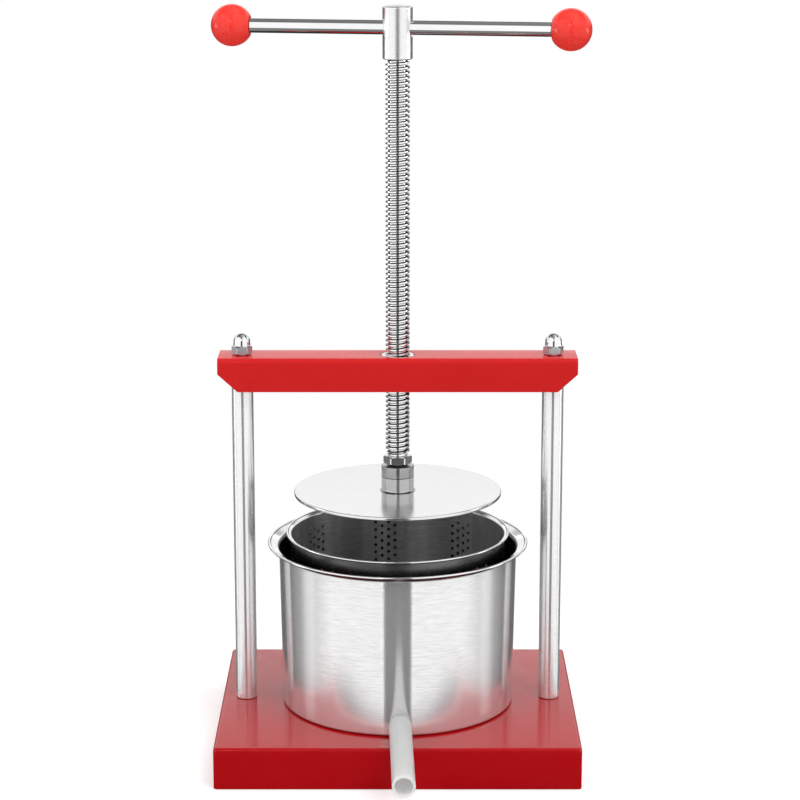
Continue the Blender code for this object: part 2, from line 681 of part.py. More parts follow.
def make_outlet(steel, clear, parent):
    """The stub through the pot's wall and the tube pushed over it, both along the outlet's axis."""
    stub_outer = STUB_DIAMETER / 2
    inner_end = WALL_AT_OUTLET - POT_SHEET - STUB_REACH_INSIDE
    stub = tube_outline(stub_outer, stub_outer - STUB_WALL, inner_end, TUBE_START + STUB_LENGTH)
    piece("outlet_stub", turned(stub, SMALL_STEPS), steel, parent)
    bore = TUBE_DIAMETER / 2 - TUBE_WALL
    tube = tube_outline(TUBE_DIAMETER / 2, bore, TUBE_START, TUBE_END)
    piece("outlet_tube", turned(tube, SMALL_STEPS), clear, parent)


def make_basket(surface, parent):
    """The pressing basket with groups of drain holes in staggered columns round its wall."""
    wall = BASKET_INSIDE_DIAMETER / 2 + BASKET_SHEET
    outline = vessel(BASKET_HEIGHT, BASKET_SHEET, wall, wall, BASKET_RIM_DIAMETER / 2,
                     BASKET_CORNER_RADIUS, BASKET_LIP_RADIUS)
    basket = piece("basket", turned(outline, LARGE_STEPS), surface, parent, (0, 0, BASKET_BOTTOM))
    holes = bmesh.new()
    for group in range(HOLE_GROUPS):
        middle = math.radians(90 - HOLE_GROUP_START_DEGREES - 360 * group / HOLE_GROUPS)
        for column in range(HOLE_COLUMNS):
            angle = middle + (column - (HOLE_COLUMNS - 1) / 2) * HOLE_COLUMN_PITCH / wall
            for row in range(HOLE_ROWS):
                depth = HOLE_TOP_MARGIN + (row + column % 2 / 2) * HOLE_ROW_PITCH
                place = Matrix.Translation((0, 0, BASKET_HEIGHT - depth)) @ Matrix.Rotation(angle, 4, "Z")
                place = place @ Matrix.Rotation(math.pi / 2, 4, "Y")
                inside = wall - BASKET_SHEET - OVERRUN
                add_rod(holes, HOLE_DIAMETER / 2, inside, wall + OVERRUN, HOLE_STEPS, place)
    cut(basket, cutter("hole_cutter", holes, parent, (0, 0, BASKET_BOTTOM)))


def build_press():
    """Make every piece of the press around its axes."""
    clear_scene()
    red = material("red_paint", (0.60, 0.012, 0.018), 0.28, 0.0)
    red_plastic = material("red_plastic", (0.80, 0.03, 0.025), 0.2, 0.0)
    chrome = material("polished_steel", (0.72, 0.72, 0.73), 0.15, 1.0)
    nickel = material("nickel_plate", (0.62, 0.62, 0.60), 0.25, 1.0)
    satin = material("satin_steel", (0.66, 0.66, 0.66), 0.32, 1.0)
    brushed = material("brushed_steel", (0.60, 0.60, 0.61), 0.3, 1.0)
    hardened = material("hardened_steel", (0.30, 0.30, 0.32), 0.4, 1.0)
    bronze = material("bronze", (0.55, 0.36, 0.16), 0.35, 1.0)
    frosted = material("frosted_tube", (0.80, 0.81, 0.80), 0.45, 0.0)

    frame_axis = axis_empty("frame_axis", location=(0, AXIS_Y, 0))
    screw_axis = axis_empty("screw_axis", frame_axis)
    plate_axis = axis_empty("plate_axis", frame_axis)
    bar_axis = axis_empty("bar_axis", screw_axis, (0, 0, BAR_CENTRE), (0, 90, BAR_TURN_DEGREES))
    pot_axis = axis_empty("pot_axis", frame_axis, turn=(0, 0, POT_TURN_DEGREES))
    outlet_axis = axis_empty("outlet_axis", pot_axis, (0, 0, POT_BOTTOM + OUTLET_HEIGHT), (90, 0, 0))

    make_base(red, frame_axis)
    make_posts(chrome, frame_axis)
    make_post_fasteners(nickel, frame_axis)
    make_crossbeam(red, frame_axis)
    make_screw_bush(nickel, frame_axis)
    make_screw(chrome, screw_axis)
    make_screw_fittings(nickel, hardened, screw_axis)
    make_head(chrome, screw_axis)
    make_bar(chrome, red_plastic, bar_axis)
    make_thrust_washer(bronze, plate_axis)
    make_plate(satin, plate_axis)
    make_hub(satin, plate_axis)
    make_pot(brushed, pot_axis)
    make_outlet(satin, frosted, outlet_axis)
    make_basket(brushed, pot_axis)


build_press()
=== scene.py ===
"""Looks of the fruit press: fine meshes, finishes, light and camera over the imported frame.

Lengths are metres and +Z is up. A piece is built round its own axis and then placed by its matrix.
"""

from math import asin, cos, degrees, hypot, pi, radians, sin, sqrt, tan

import bmesh
import bpy
from mathutils import Matrix, Vector


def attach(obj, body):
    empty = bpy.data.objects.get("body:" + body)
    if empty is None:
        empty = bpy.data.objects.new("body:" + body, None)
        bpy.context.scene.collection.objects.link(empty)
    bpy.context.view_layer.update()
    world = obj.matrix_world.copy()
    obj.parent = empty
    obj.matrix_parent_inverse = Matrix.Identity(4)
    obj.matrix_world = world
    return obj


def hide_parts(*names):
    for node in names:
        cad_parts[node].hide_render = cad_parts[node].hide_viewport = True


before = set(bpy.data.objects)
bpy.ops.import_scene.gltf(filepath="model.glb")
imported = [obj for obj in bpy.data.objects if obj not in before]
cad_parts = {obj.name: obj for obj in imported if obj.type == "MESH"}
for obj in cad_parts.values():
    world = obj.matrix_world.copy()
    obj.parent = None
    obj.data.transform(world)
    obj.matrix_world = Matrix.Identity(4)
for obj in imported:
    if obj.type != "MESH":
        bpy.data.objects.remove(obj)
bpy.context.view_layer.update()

# Sizes of the frame, as in the part's source
BASE_WIDTH, BASE_DEPTH, BASE_HEIGHT, BASE_SHEET = 0.300, 0.250, 0.035, 0.0025
BASE_EDGE_RADIUS, BASE_CORNER_RADIUS = 0.0025, 0.0030
POST_DIAMETER, POST_SPACING, POST_LENGTH = 0.018, 0.259, 0.2975
STUD_DIAMETER, STUD_PITCH, STUD_DEPTH, STUD_TAIL, STUD_RISE = 0.010, 0.0015, 0.0009, 0.003, 0.010
BEAM_LENGTH, BEAM_HEIGHT, BEAM_DEPTH, BEAM_SHEET, BEAM_BEND = 0.298, 0.028, 0.040, 0.003, 0.004
BEAM_CORNER_LENGTH, BEAM_CORNER_HEIGHT = 0.0165, 0.015
NUT_FLATS, NUT_HEIGHT, NUT_TURN = 0.016, 0.008, 6.0
CAP_NUT_HEIGHT, CAP_DOME_DIAMETER, CAP_BORE_DEPTH = 0.018, 0.0148, 0.0125
WASHER_DIAMETER, WASHER_THICKNESS = 0.020, 0.002
SCREW_DIAMETER, PITCH, THREAD_DEPTH, CREST_SHARE, FLANK = 0.020, 0.004, 0.00225, 0.366, 15.0
THREAD_LENGTH, NECK_DIAMETER, COLLAR_HEIGHT = 0.330, 0.014, 0.0012
BUSH_SPIGOT, BUSH_BODY, THREAD_RADIAL, THREAD_AXIAL = 0.0275, 0.032, 0.0004, 0.00025
HEAD_DIAMETER, HEAD_HEIGHT, HEAD_EDGE, HEAD_SPIGOT, HEAD_BAR_HEIGHT = 0.0245, 0.0428, 0.0015, 0.016, 0.0254
BAR_DIAMETER, BAR_TURN, BAR_SHIFT, BAR_SPIGOT, BAR_SPIGOT_LENGTH = 0.012, -9.0, 0.0017, 0.008, 0.013
KNOB_DIAMETER, KNOB_SPACING, KNOB_FACE = 0.0345, 0.277, 0.017
PLATE_DIAMETER, PLATE_THICKNESS, PLATE_REST = 0.1743, 0.003, 0.184
HUB_DIAMETER, HUB_SOCKET, HUB_FLOOR, HUB_BORE, HUB_COLLAR, HUB_WELD = 0.0275, 0.0117, 0.0025, 0.0208, 0.0242, 0.0012
CAP_HEIGHT, FOOT_HEIGHT, THRUST = 0.0095, 0.010, 0.0015
LOCK_FLATS, LOCK_HEIGHT = 0.021, 0.0083
POT_TURN, POT_HEIGHT, POT_SHEET = 1.2, 0.140, 0.001
POT_TOP, POT_LOW, POT_RIM, POT_CORNER, POT_LIP = 0.201, 0.196, 0.2192, 0.0022, 0.004
OUTLET_HEIGHT, STUB_DIAMETER, STUB_WALL, STUB_LENGTH, STUB_INSIDE = 0.0107, 0.0136, 0.0012, 0.032, 0.002
TUBE_DIAMETER, TUBE_WALL, TUBE_LENGTH = 0.0184, 0.002, 0.1355
BASKET_HEIGHT, BASKET_SHEET, BASKET_INSIDE, BASKET_RIM, BASKET_CORNER = 0.147, 0.001, 0.179, 0.1883, 0.004
HOLE_DIAMETER, HOLE_GROUPS, HOLE_COLUMNS, HOLE_ROWS = 0.0028, 8, 4, 17
COLUMN_PITCH, ROW_PITCH, HOLE_TOP, GROUP_START = 0.0058, 0.00684, 0.01516, -5.9
GAP = 0.0003

# How far a cutter passes a face, from what height holes have the painted gap shade, and how far below the tops of cap
# nuts, pot and basket the polish begins
OVERSHOOT, BORED_FROM = 0.002, 0.060
CAP_POLISH, POT_POLISH, BASKET_POLISH = 0.0016, 0.0036, 0.0022

# Heights and reaches that follow from them
BEAM_TOP = BASE_HEIGHT + POST_LENGTH + BEAM_SHEET
BEAM_BOTTOM = BEAM_TOP - BEAM_HEIGHT
PLATE_TOP = BASE_HEIGHT + PLATE_REST
HUB_BOTTOM = PLATE_TOP + GAP
HUB_SEAM = HUB_BOTTOM + HUB_SOCKET
FOOT_BOTTOM = HUB_BOTTOM + HUB_FLOOR + THRUST + 2 * GAP
FOOT_TOP = FOOT_BOTTOM + FOOT_HEIGHT
CAP_TOP = HUB_SEAM + GAP + CAP_HEIGHT
LOCK_BOTTOM = CAP_TOP + GAP
THREAD_START = LOCK_BOTTOM + LOCK_HEIGHT + GAP
THREAD_END = THREAD_START + THREAD_LENGTH
HEAD_BOTTOM = THREAD_END + GAP
BAR_CENTRE = HEAD_BOTTOM + HEAD_BAR_HEIGHT
POT_BOTTOM = BASE_HEIGHT + GAP
BASKET_BOTTOM = POT_BOTTOM + POT_SHEET + GAP
POT_DRAFT = (POT_TOP - POT_LOW) / 2 / POT_HEIGHT
WALL_AT_OUTLET = POT_LOW / 2 + POT_DRAFT * OUTLET_HEIGHT
TUBE_START = WALL_AT_OUTLET + GAP
TUBE_END = TUBE_START + TUBE_LENGTH
THREAD_CORE = SCREW_DIAMETER / 2 - THREAD_DEPTH
AXIS_Y = (TUBE_END * cos(radians(POT_TURN)) - BASE_DEPTH / 2) / 2
STUD_HOLE = STUD_DIAMETER / 2 + GAP


def shift(x=0.0, y=0.0, z=0.0):
    return Matrix.Translation((x, y, z))


def spin(axis, degrees):
    return Matrix.Rotation(radians(degrees), 4, axis)


# Where things stand
AXIS = shift(y=AXIS_Y)
POT_AXIS = AXIS @ spin("Z", POT_TURN)
OUTLET = shift(z=POT_BOTTOM + OUTLET_HEIGHT) @ spin("X", 90)
OUTLET_AXIS = POT_AXIS @ OUTLET
BAR = shift(z=BAR_CENTRE) @ spin("Z", BAR_TURN) @ spin("Y", 90)
BAR_AXIS = AXIS @ BAR


# ---- mesh helpers

def mesh_of(bm, name):
    mesh = bpy.data.meshes.new(name)
    bm.to_mesh(mesh)
    bm.free()
    return mesh


def having(thing, **settings):
    """The thing, with these settings."""
    for key, value in settings.items():
        setattr(thing, key, value)
    return thing


def placed(name, data):
    """A new object in the scene."""
    made = bpy.data.objects.new(name, data)
    bpy.context.scene.collection.objects.link(made)
    return made


def mark_rim(bm, rim, shaded_side):
    """Give faces above the rim's level the second finish, and those towards the gap between the vessels the third, a
    dark steel that is painted shade.

    The shaded side is 1 for a wall whose outside looks into the gap, -1 for its inside and 0 for none. From
    BORED_FROM up, the edges of the holes in such a wall have the painted shade too, as do the flare's faces that
    the polish leaves and those just below the rim that look down.
    """
    edge_width, flare_reach = 0.0012, 0.004
    upward, side_on, downward = 0.4, -0.25, -0.35
    widest = max(vert.co.x for vert in bm.verts)
    for face in bm.faces:
        centre, normal = face.calc_center_median(), face.normal
        radius = hypot(centre.x, centre.y)
        outward = (normal.x * centre.x + normal.y * centre.y) / max(radius, 0.001)
        edge = normal.z > side_on and radius > widest - edge_width and outward > 0
        flare = centre.z > rim or (centre.z > rim - flare_reach and normal.z < downward)
        least = 0.2 if centre.z < BORED_FROM else -0.8
        if centre.z > rim and (normal.z > upward or edge or not shaded_side):
            face.material_index = 1
        # The third material is painted shade: a dark steel where the gap between the vessels is in shade.
        elif shaded_side and (flare or outward * shaded_side > least):
            face.material_index = 2


def finished(name, bm, surface, matrix, body, node, sharp=32.0, bevel=0.0, baked=False, rim=None, shaded_side=0,
             others=()):
    """Turn a bmesh into a piece that rides on a body and stands for a CAD node.

    A baked piece keeps world coordinates in its mesh. Others are the materials of faces marked in the mesh, by
    mark_rim where a rim's level is given; the dark steels among them are painted shade.
    """
    bmesh.ops.recalc_face_normals(bm, faces=bm.faces)
    if rim is not None:
        mark_rim(bm, rim, shaded_side)
        others = (RIM_STEEL, GAP_SHADE_STEEL)
    mesh = mesh_of(bm, name)
    for finish in (surface, *others):
        mesh.materials.append(finish)
    if baked:
        mesh.transform(matrix)
        matrix = Matrix.Identity(4)
    mesh.shade_smooth()
    mesh.set_sharp_from_angle(angle=radians(sharp))
    piece = placed(name, mesh)
    piece.matrix_world = matrix
    if bevel:
        having(piece.modifiers.new("soft_edges", "BEVEL"), width=bevel, segments=3, limit_method="ANGLE",
               angle_limit=radians(35), harden_normals=True)
    else:
        having(piece.modifiers.new("even_normals", "WEIGHTED_NORMAL"), keep_sharp=True, weight=80)
    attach(piece, body)
    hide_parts(node)


def cut_mesh(bm, tool):
    """The first bmesh with the second one cut out of it."""
    objects = []
    for shape in (bm, tool):
        bmesh.ops.recalc_face_normals(shape, faces=shape.faces)
        objects.append(placed("cut", mesh_of(shape, "cut")))
    body, blade = objects
    having(body.modifiers.new("cut", "BOOLEAN"), solver="EXACT", operation="DIFFERENCE", object=blade)
    bpy.context.view_layer.update()
    result = bmesh.new()
    result.from_mesh(body.evaluated_get(bpy.context.evaluated_depsgraph_get()).to_mesh())
    bmesh.ops.remove_doubles(result, verts=result.verts, dist=1e-7)
    for made in objects:
        bpy.data.meshes.remove(made.data)
    return result


def softened(points, closed, steps=4):
    """An outline whose corners are rounded: each point is (radius, height) or (radius, height, fillet)."""
    count = len(points)
    result = []
    for index, point in enumerate(points):
        here = Vector(point[:2])
        fillet = point[2] if len(point) > 2 else 0
        if not fillet or (not closed and index in (0, count - 1)):
            result.append((here.x, here.y))
            continue
        back = Vector(points[index - 1][:2]) - here
        ahead = Vector(points[(index + 1) % count][:2]) - here
        half = back.angle(ahead) / 2
        reach = min(fillet / tan(half), 0.49 * back.length, 0.49 * ahead.length)
        back.normalize()
        ahead.normalize()
        radius = reach * tan(half)
        centre = here + (back + ahead).normalized() * (radius / sin(half))
        start = here + back * reach - centre
        end = here + ahead * reach - centre
        turn = start.angle_signed(end)
        for step in range(steps + 1):
            angle = -turn * step / steps
            rotated = Vector((start.x * cos(angle) - start.y * sin(angle),
                              start.x * sin(angle) + start.y * cos(angle)))
            result.append((centre.x + rotated.x, centre.y + rotated.y))
    return result


def arc(centre_radius, centre_height, radius, start, end, steps=8):
    """Points of an arc in an outline."""
    points = []
    for index in range(steps + 1):
        angle = radians(start + (end - start) * index / steps)
        points.append((centre_radius + radius * cos(angle), centre_height + radius * sin(angle)))
    return points


def add_face(bm, corners, finish=0):
    """A face through the distinct corners, if there are at least three."""
    kept = []
    for corner in corners:
        if corner not in kept:
            kept.append(corner)
    if len(kept) > 2:
        bm.faces.new(kept).material_index = finish


def bridge(bm, first, second):
    """Faces between two rings with as many steps."""
    steps = len(first)
    for index in range(steps):
        following = (index + 1) % steps
        add_face(bm, (first[index], first[following], second[following], second[index]))


def joined_rings(bm, rings):
    """Faces between each ring and the next."""
    for first, second in zip(rings, rings[1:]):
        bridge(bm, first, second)


def circle(bm, radius, height, angles):
    """A ring of vertices, or copies of one vertex on the axis."""
    if radius < 1e-9:
        return [bm.verts.new((0, 0, height))] * len(angles)
    return [bm.verts.new((radius * cos(a), radius * sin(a), height)) for a in angles]


def ring_stack(bm, outline, angles):
    """A ring for each radius and height of an outline."""
    return [circle(bm, radius, height, angles) for radius, height in outline]


def lathed(bm, outline, angles, before=None, after=None):
    """A surface along an outline, from one ring and to another where they are given."""
    rings = [before, *ring_stack(bm, outline, angles), after]
    joined_rings(bm, [ring for ring in rings if ring])


def even_angles(steps):
    return [2 * pi * index / steps for index in range(steps)]


def turned(outline, steps=128):
    """A turned body; an outline that starts off the axis is closed onto itself."""
    bm = bmesh.new()
    rings = ring_stack(bm, outline, even_angles(steps))
    joined_rings(bm, rings + rings[:1] if outline[0][0] > 1e-9 else rings)
    return bm


def drill(radius, low, high, steps=48):
    """A cutter for a round hole."""
    return turned([(0, low), (radius, low), (radius, high), (0, high)], steps)


def merged(*shapes):
    """Several bmeshes in one."""
    whole = bmesh.new()
    for shape in shapes:
        mesh = mesh_of(shape, "part")
        whole.from_mesh(mesh)
        bpy.data.meshes.remove(mesh)
    return whole


def moved(bm, matrix):
    bmesh.ops.transform(bm, matrix=matrix, verts=bm.verts)
    return bm


# ---- materials


def new_material(name):
    """An empty material, its nodes and its object's coordinates."""
    surface = having(bpy.data.materials.new(name), use_nodes=True)
    tree = surface.node_tree
    tree.nodes.clear()
    return surface, tree, add(tree, "ShaderNodeTexCoord").outputs["Object"]


def add(tree, kind, inputs=None, **settings):
    """A node with its settings; each input is given a value, or linked where that is a socket."""
    node = having(tree.nodes.new(kind), **settings)
    for key, value in (inputs or {}).items():
        if isinstance(value, bpy.types.NodeSocket):
            tree.links.new(value, node.inputs[key])
        elif value is not None:
            node.inputs[key].default_value = value
    return node


def ramp(tree, source, stops, interpolation="LINEAR"):
    """A colour ramp from (place, grey or colour) stops."""
    node = add(tree, "ShaderNodeValToRGB", {"Fac": source})
    node.color_ramp.interpolation = interpolation
    elements = node.color_ramp.elements
    while len(elements) > 1:
        elements.remove(elements[-1])
    for index, (place, colour) in enumerate(stops):
        element = elements[0] if index == 0 else elements.new(place)
        element.position = place
        element.color = (*colour, 1) if isinstance(colour, tuple) else (colour, colour, colour, 1)
    return node.outputs["Color"]


def between(tree, source, low, high, start=0.3, end=0.7):
    """From low to high, greys or colours, while the source goes from start to end."""
    return ramp(tree, source, [(start, low), (end, high)])


def maths(tree, operation, first, second=None):
    return add(tree, "ShaderNodeMath", {0: first, 1: second}, operation=operation).outputs[0]


def average(tree, first, second):
    return maths(tree, "MULTIPLY", maths(tree, "ADD", first, second), 0.5)


def length(tree, x, y):
    return maths(tree, "SQRT", maths(tree, "ADD", maths(tree, "POWER", x, 2.0), maths(tree, "POWER", y, 2.0)))


def blend(tree, factor, first, second, kind="MIX"):
    """Two colours mixed."""
    inputs = {"Factor": factor, "A": first, "B": second}
    return add(tree, "ShaderNodeMix", inputs, data_type="RGBA", blend_type=kind).outputs["Result"]


def mixed_shader(tree, factor, first, second):
    return add(tree, "ShaderNodeMixShader", {0: factor, 1: first, 2: second}).outputs[0]


def axes(tree, source):
    """The three coordinates of a vector."""
    return add(tree, "ShaderNodeSeparateXYZ", {0: source}).outputs


def noise(tree, source, scale, detail=2.0, roughness=0.5):
    inputs = {"Vector": source, "Scale": scale, "Detail": detail, "Roughness": roughness}
    return add(tree, "ShaderNodeTexNoise", inputs).outputs["Fac"]


def streaks(tree, source, scale, detail, roughness=0.6, turn=0.0):
    """Noise with a scale for each axis, on coordinates turned back about z by an angle in degrees."""
    inputs = {"Vector": source, "Scale": [1 / value for value in scale], "Rotation": (0, 0, radians(turn))}
    place = add(tree, "ShaderNodeMapping", inputs, vector_type="TEXTURE").outputs["Vector"]
    return noise(tree, place, 1.0, detail, roughness)


def round_coordinates(tree, place, radius):
    """Coordinates unrolled round the z axis: distance along the circle, height, distance from the axis."""
    x, y, z = axes(tree, place)
    angle = maths(tree, "ARCTAN2", x, maths(tree, "MULTIPLY", y, -1.0))
    inputs = {0: maths(tree, "MULTIPLY", angle, radius), 1: z, 2: length(tree, x, y)}
    return add(tree, "ShaderNodeCombineXYZ", inputs).outputs[0]


def bumped(tree, height, strength, distance=0.0002):
    inputs = {"Strength": strength, "Distance": distance, "Height": height}
    return add(tree, "ShaderNodeBump", inputs).outputs["Normal"]


def darker(colour, share):
    return tuple((1 - share) * value for value in colour)


def shaded(surface, values, colour, roughness, normal, tangent=None):
    """The material with its Principled shader and output."""
    tree = surface.node_tree
    linked = {"Base Color": colour, "Roughness": roughness, "Normal": normal, "Tangent": tangent}
    shader = add(tree, "ShaderNodeBsdfPrincipled", {**values, **linked})
    add(tree, "ShaderNodeOutputMaterial", {"Surface": shader.outputs[0]})
    return surface


def soft_glow(weight, *radius):
    """Light that spreads under the surface, by its radius in red, green and blue."""
    return {"Subsurface Weight": weight, "Subsurface Radius": radius, "Subsurface Scale": 1.0}


def red_paint(name, base, gloss):
    """Gloss powder coat with a faint orange peel; gloss is its index of refraction."""
    surface, tree, place = new_material(name)
    colour = between(tree, noise(tree, place, 14.0, 3.0), darker(base, 0.06), base)
    rough = between(tree, noise(tree, place, 55.0, 4.0), 0.11, 0.16)
    return shaded(surface, {"IOR": gloss}, colour, rough, bumped(tree, noise(tree, place, 420.0), 0.05))


def red_plastic():
    """Glossy moulded plastic of the ball knobs."""
    surface, tree, place = new_material("red_moulded")
    colour = between(tree, noise(tree, place, 30.0), (0.79, 0.037, 0.026), (0.84, 0.041, 0.029))
    rough = between(tree, noise(tree, place, 40.0), 0.18, 0.21)
    flow = bumped(tree, noise(tree, place, 60.0, 1.0), 0.006)
    return shaded(surface, {"IOR": 1.36, **soft_glow(0.15, 0.006, 0.002, 0.002)}, colour, rough, flow)


def metal(name, base, rough, stretch, strength=0.04, turn=0.0, metallic=1.0):
    """Plated or drawn metal; rough gives its lowest and highest roughness, stretch its marks a metre by axis."""
    surface, tree, place = new_material(name)
    marks = streaks(tree, place, stretch, 4.0, turn=turn)
    spots = noise(tree, place, 45.0, 3.0)
    colour = between(tree, spots, darker(base, 0.04), base)
    roughness = between(tree, average(tree, marks, spots), *rough, 0.35, 0.65)
    return shaded(surface, {"Metallic": metallic}, colour, roughness, bumped(tree, marks, strength, 0.0001))


def turned_metal(name, base, rough, radius, anisotropy, contrast, strength, lines=1500.0, metallic=1.0,
                 painted_reflection_bands=0.0):
    """Metal brushed or turned round its z axis, with so many lines a metre along height and radius.

    Contrast is the share of colour lost in the marks; the last argument is the share lost in soft upright bands, a
    painted reflection.
    """
    surface, tree, place = new_material(name)
    place = round_coordinates(tree, place, radius)
    both = average(tree, *[streaks(tree, place, (along, share * lines, share * lines), 2.0)
                           for along, share in ((60.0, 1.0), (110.0, 0.55))])
    colour = between(tree, both, darker(base, contrast), base, 0.38, 0.58)
    if painted_reflection_bands:
        # Soft upright light and dark bands: painted reflection of the studio.
        soft = streaks(tree, place, (22.0, 0.5, 0.5), 3.0)
        colour = blend(tree, 1.0, colour, between(tree, soft, 1 - painted_reflection_bands, 1.0, 0.38, 0.62), "MULTIPLY")
    roughness = between(tree, both, rough[1], rough[0], 0.36, 0.62)
    tangent = add(tree, "ShaderNodeTangent", direction_type="RADIAL", axis="Z").outputs[0]
    values = {"Metallic": metallic, "Anisotropic": anisotropy, "Anisotropic Rotation": 0.25}
    return shaded(surface, values, colour, roughness, bumped(tree, both, strength, 0.0001), tangent)


def frosted_plastic():
    """Whitish translucent tube."""
    surface, tree, place = new_material("frosted_plastic")
    drawn = streaks(tree, place, (220.0, 220.0, 12.0), 3.0, 0.5)
    colour = between(tree, drawn, (0.66, 0.67, 0.665), (0.72, 0.73, 0.72))
    rough = between(tree, noise(tree, place, 120.0, 3.0), 0.30, 0.42)
    return shaded(surface, {"IOR": 1.45, **soft_glow(0.8, 0.02, 0.02, 0.02)}, colour, rough, bumped(tree, drawn, 0.08))


# The base has the beam's powder coat made darker: painted shade for the low base, which gets less light.
BASE_SHADED_RED = red_paint("red_powder_coat_darkened_as_painted_shade", (0.42, 0.002, 0.005), gloss=1.40)
BEAM_RED = red_paint("red_powder_coat_beam", (0.59, 0.016, 0.016), gloss=1.22)
KNOB_RED = red_plastic()
BAR_CHROME = metal("bright_chrome_bar", (0.84, 0.84, 0.85), (0.045, 0.075), (25.0, 900.0, 900.0),
                   turn=BAR_TURN)
CHROME = metal("bright_chrome", (0.84, 0.84, 0.85), (0.045, 0.075), (900.0, 900.0, 25.0))
# Dark steel on the thread flanks: painted shade in the grooves between the crests.
FLANK_SHADE_STEEL = metal("thread_flank_painted_shade", (0.15, 0.15, 0.15), (0.12, 0.20), (900.0, 900.0, 25.0))
GROUND = turned_metal("ground_chrome", (0.89, 0.89, 0.895), (0.17, 0.21), radius=0.009,
                      anisotropy=1.0, contrast=0.03, strength=0.02, metallic=0.76)
HEAD_STEEL = turned_metal("turned_chrome", (0.86, 0.86, 0.865), (0.29, 0.34), radius=0.012,
                          anisotropy=0.0, contrast=0.04, strength=0.02)
ZINC = metal("satin_zinc", (0.50, 0.53, 0.55), (0.26, 0.34), (260.0, 260.0, 260.0), metallic=0.7)
NICKEL = metal("bright_nickel", (0.78, 0.78, 0.77), (0.07, 0.12), (260.0, 260.0, 260.0))
SATIN = turned_metal("satin_turned", (0.77, 0.77, 0.77), (0.14, 0.19), radius=0.06,
                     anisotropy=0.2, contrast=0.03, strength=0.03)
HUB_STEEL, SOCKET_STEEL = [turned_metal(name, (grey, grey, grey), (0.12, 0.18), radius=0.014,
                                        anisotropy=0.8, contrast=0.05, strength=0.04)
                           for name, grey in (("turned_hub", 0.38), ("turned_socket", 0.53))]
POT_STEEL = turned_metal("brushed_pot", (0.87, 0.87, 0.875), (0.13, 0.17), radius=0.10, lines=1900.0,
                         anisotropy=1.0, contrast=0.10, strength=0.4, metallic=0.80)
# The basket's soft upright bands are painted reflection.
BASKET_STEEL = turned_metal("brushed_basket", (0.90, 0.90, 0.90), (0.19, 0.27), radius=0.09,
                            lines=1200.0, anisotropy=0.8, contrast=0.25, strength=0.10, metallic=0.72, painted_reflection_bands=0.50)
# Dark steel on faces towards the gap between the vessels, under the rolled rims and at hole edges: painted shade.
GAP_SHADE_STEEL = turned_metal("brushed_steel_painted_gap_shade", (0.20, 0.20, 0.20), (0.20, 0.28), radius=0.095,
                         lines=1200.0, anisotropy=0.6, contrast=0.12, strength=0.05)
RIM_STEEL = metal("polished_rim", (0.86, 0.86, 0.865), (0.06, 0.10), (300.0, 300.0, 300.0), 0.02)
STUB_STEEL = metal("drawn_stub", (0.80, 0.80, 0.80), (0.16, 0.24), (700.0, 700.0, 40.0))
DARK_STEEL = metal("blackened_steel", (0.30, 0.30, 0.32), (0.30, 0.42), (300.0, 300.0, 300.0))
BRONZE = metal("bearing_bronze", (0.55, 0.36, 0.16), (0.28, 0.38), (300.0, 300.0, 300.0))
FROSTED = frosted_plastic()


# ---- frame

def rounded_rectangle(half_x, half_y, radius, steps=6):
    points = []
    for corner, (sx, sy) in enumerate(((1, 1), (-1, 1), (-1, -1), (1, -1))):
        for step in range(steps + 1):
            angle = pi / 2 * (corner + step / steps)
            points.append((sx * (half_x - radius) + radius * cos(angle),
                           sy * (half_y - radius) + radius * sin(angle)))
    return points


def base_mesh():
    """Folded tray with rounded folds and ground corners, open underneath."""
    bm = bmesh.new()
    edge, lip, inner = BASE_EDGE_RADIUS, 0.0005, 0.0008
    inner_corner = BASE_SHEET + 0.001
    rise = BASE_HEIGHT - BASE_SHEET
    outside = arc(lip, lip, lip, 270, 180, 3) + arc(edge, BASE_HEIGHT - edge, edge, 180, 90, 7)
    inside = arc(BASE_SHEET - lip, lip, lip, 270, 360, 3)
    inside += arc(BASE_SHEET + inner, rise - inner, inner, 180, 90, 4)
    feet = []
    for levels, corner, least in ((outside, BASE_CORNER_RADIUS, 0.0003), (inside, inner_corner, 0.0002)):
        rings = []
        for inset, height in levels:
            loop = rounded_rectangle(BASE_WIDTH / 2 - inset, BASE_DEPTH / 2 - inset, max(corner - inset, least))
            rings.append([bm.verts.new((x, y, height)) for x, y in loop])
        joined_rings(bm, rings)
        bm.faces.new(rings[-1])
        feet.append(rings[0])
    bridge(bm, *feet)
    return cut_mesh(bm, merged(*[moved(drill(STUD_HOLE, rise - OVERSHOOT, BASE_HEIGHT + OVERSHOOT),
                                       shift(side * POST_SPACING / 2)) for side in (-1, 1)]))


def extruded(outline, low, high):
    bm = bmesh.new()
    near = [bm.verts.new((low, y, z)) for y, z in outline]
    far = [bm.verts.new((high, y, z)) for y, z in outline]
    bridge(bm, near, far)
    bm.faces.new(near)
    bm.faces.new(far)
    return bm


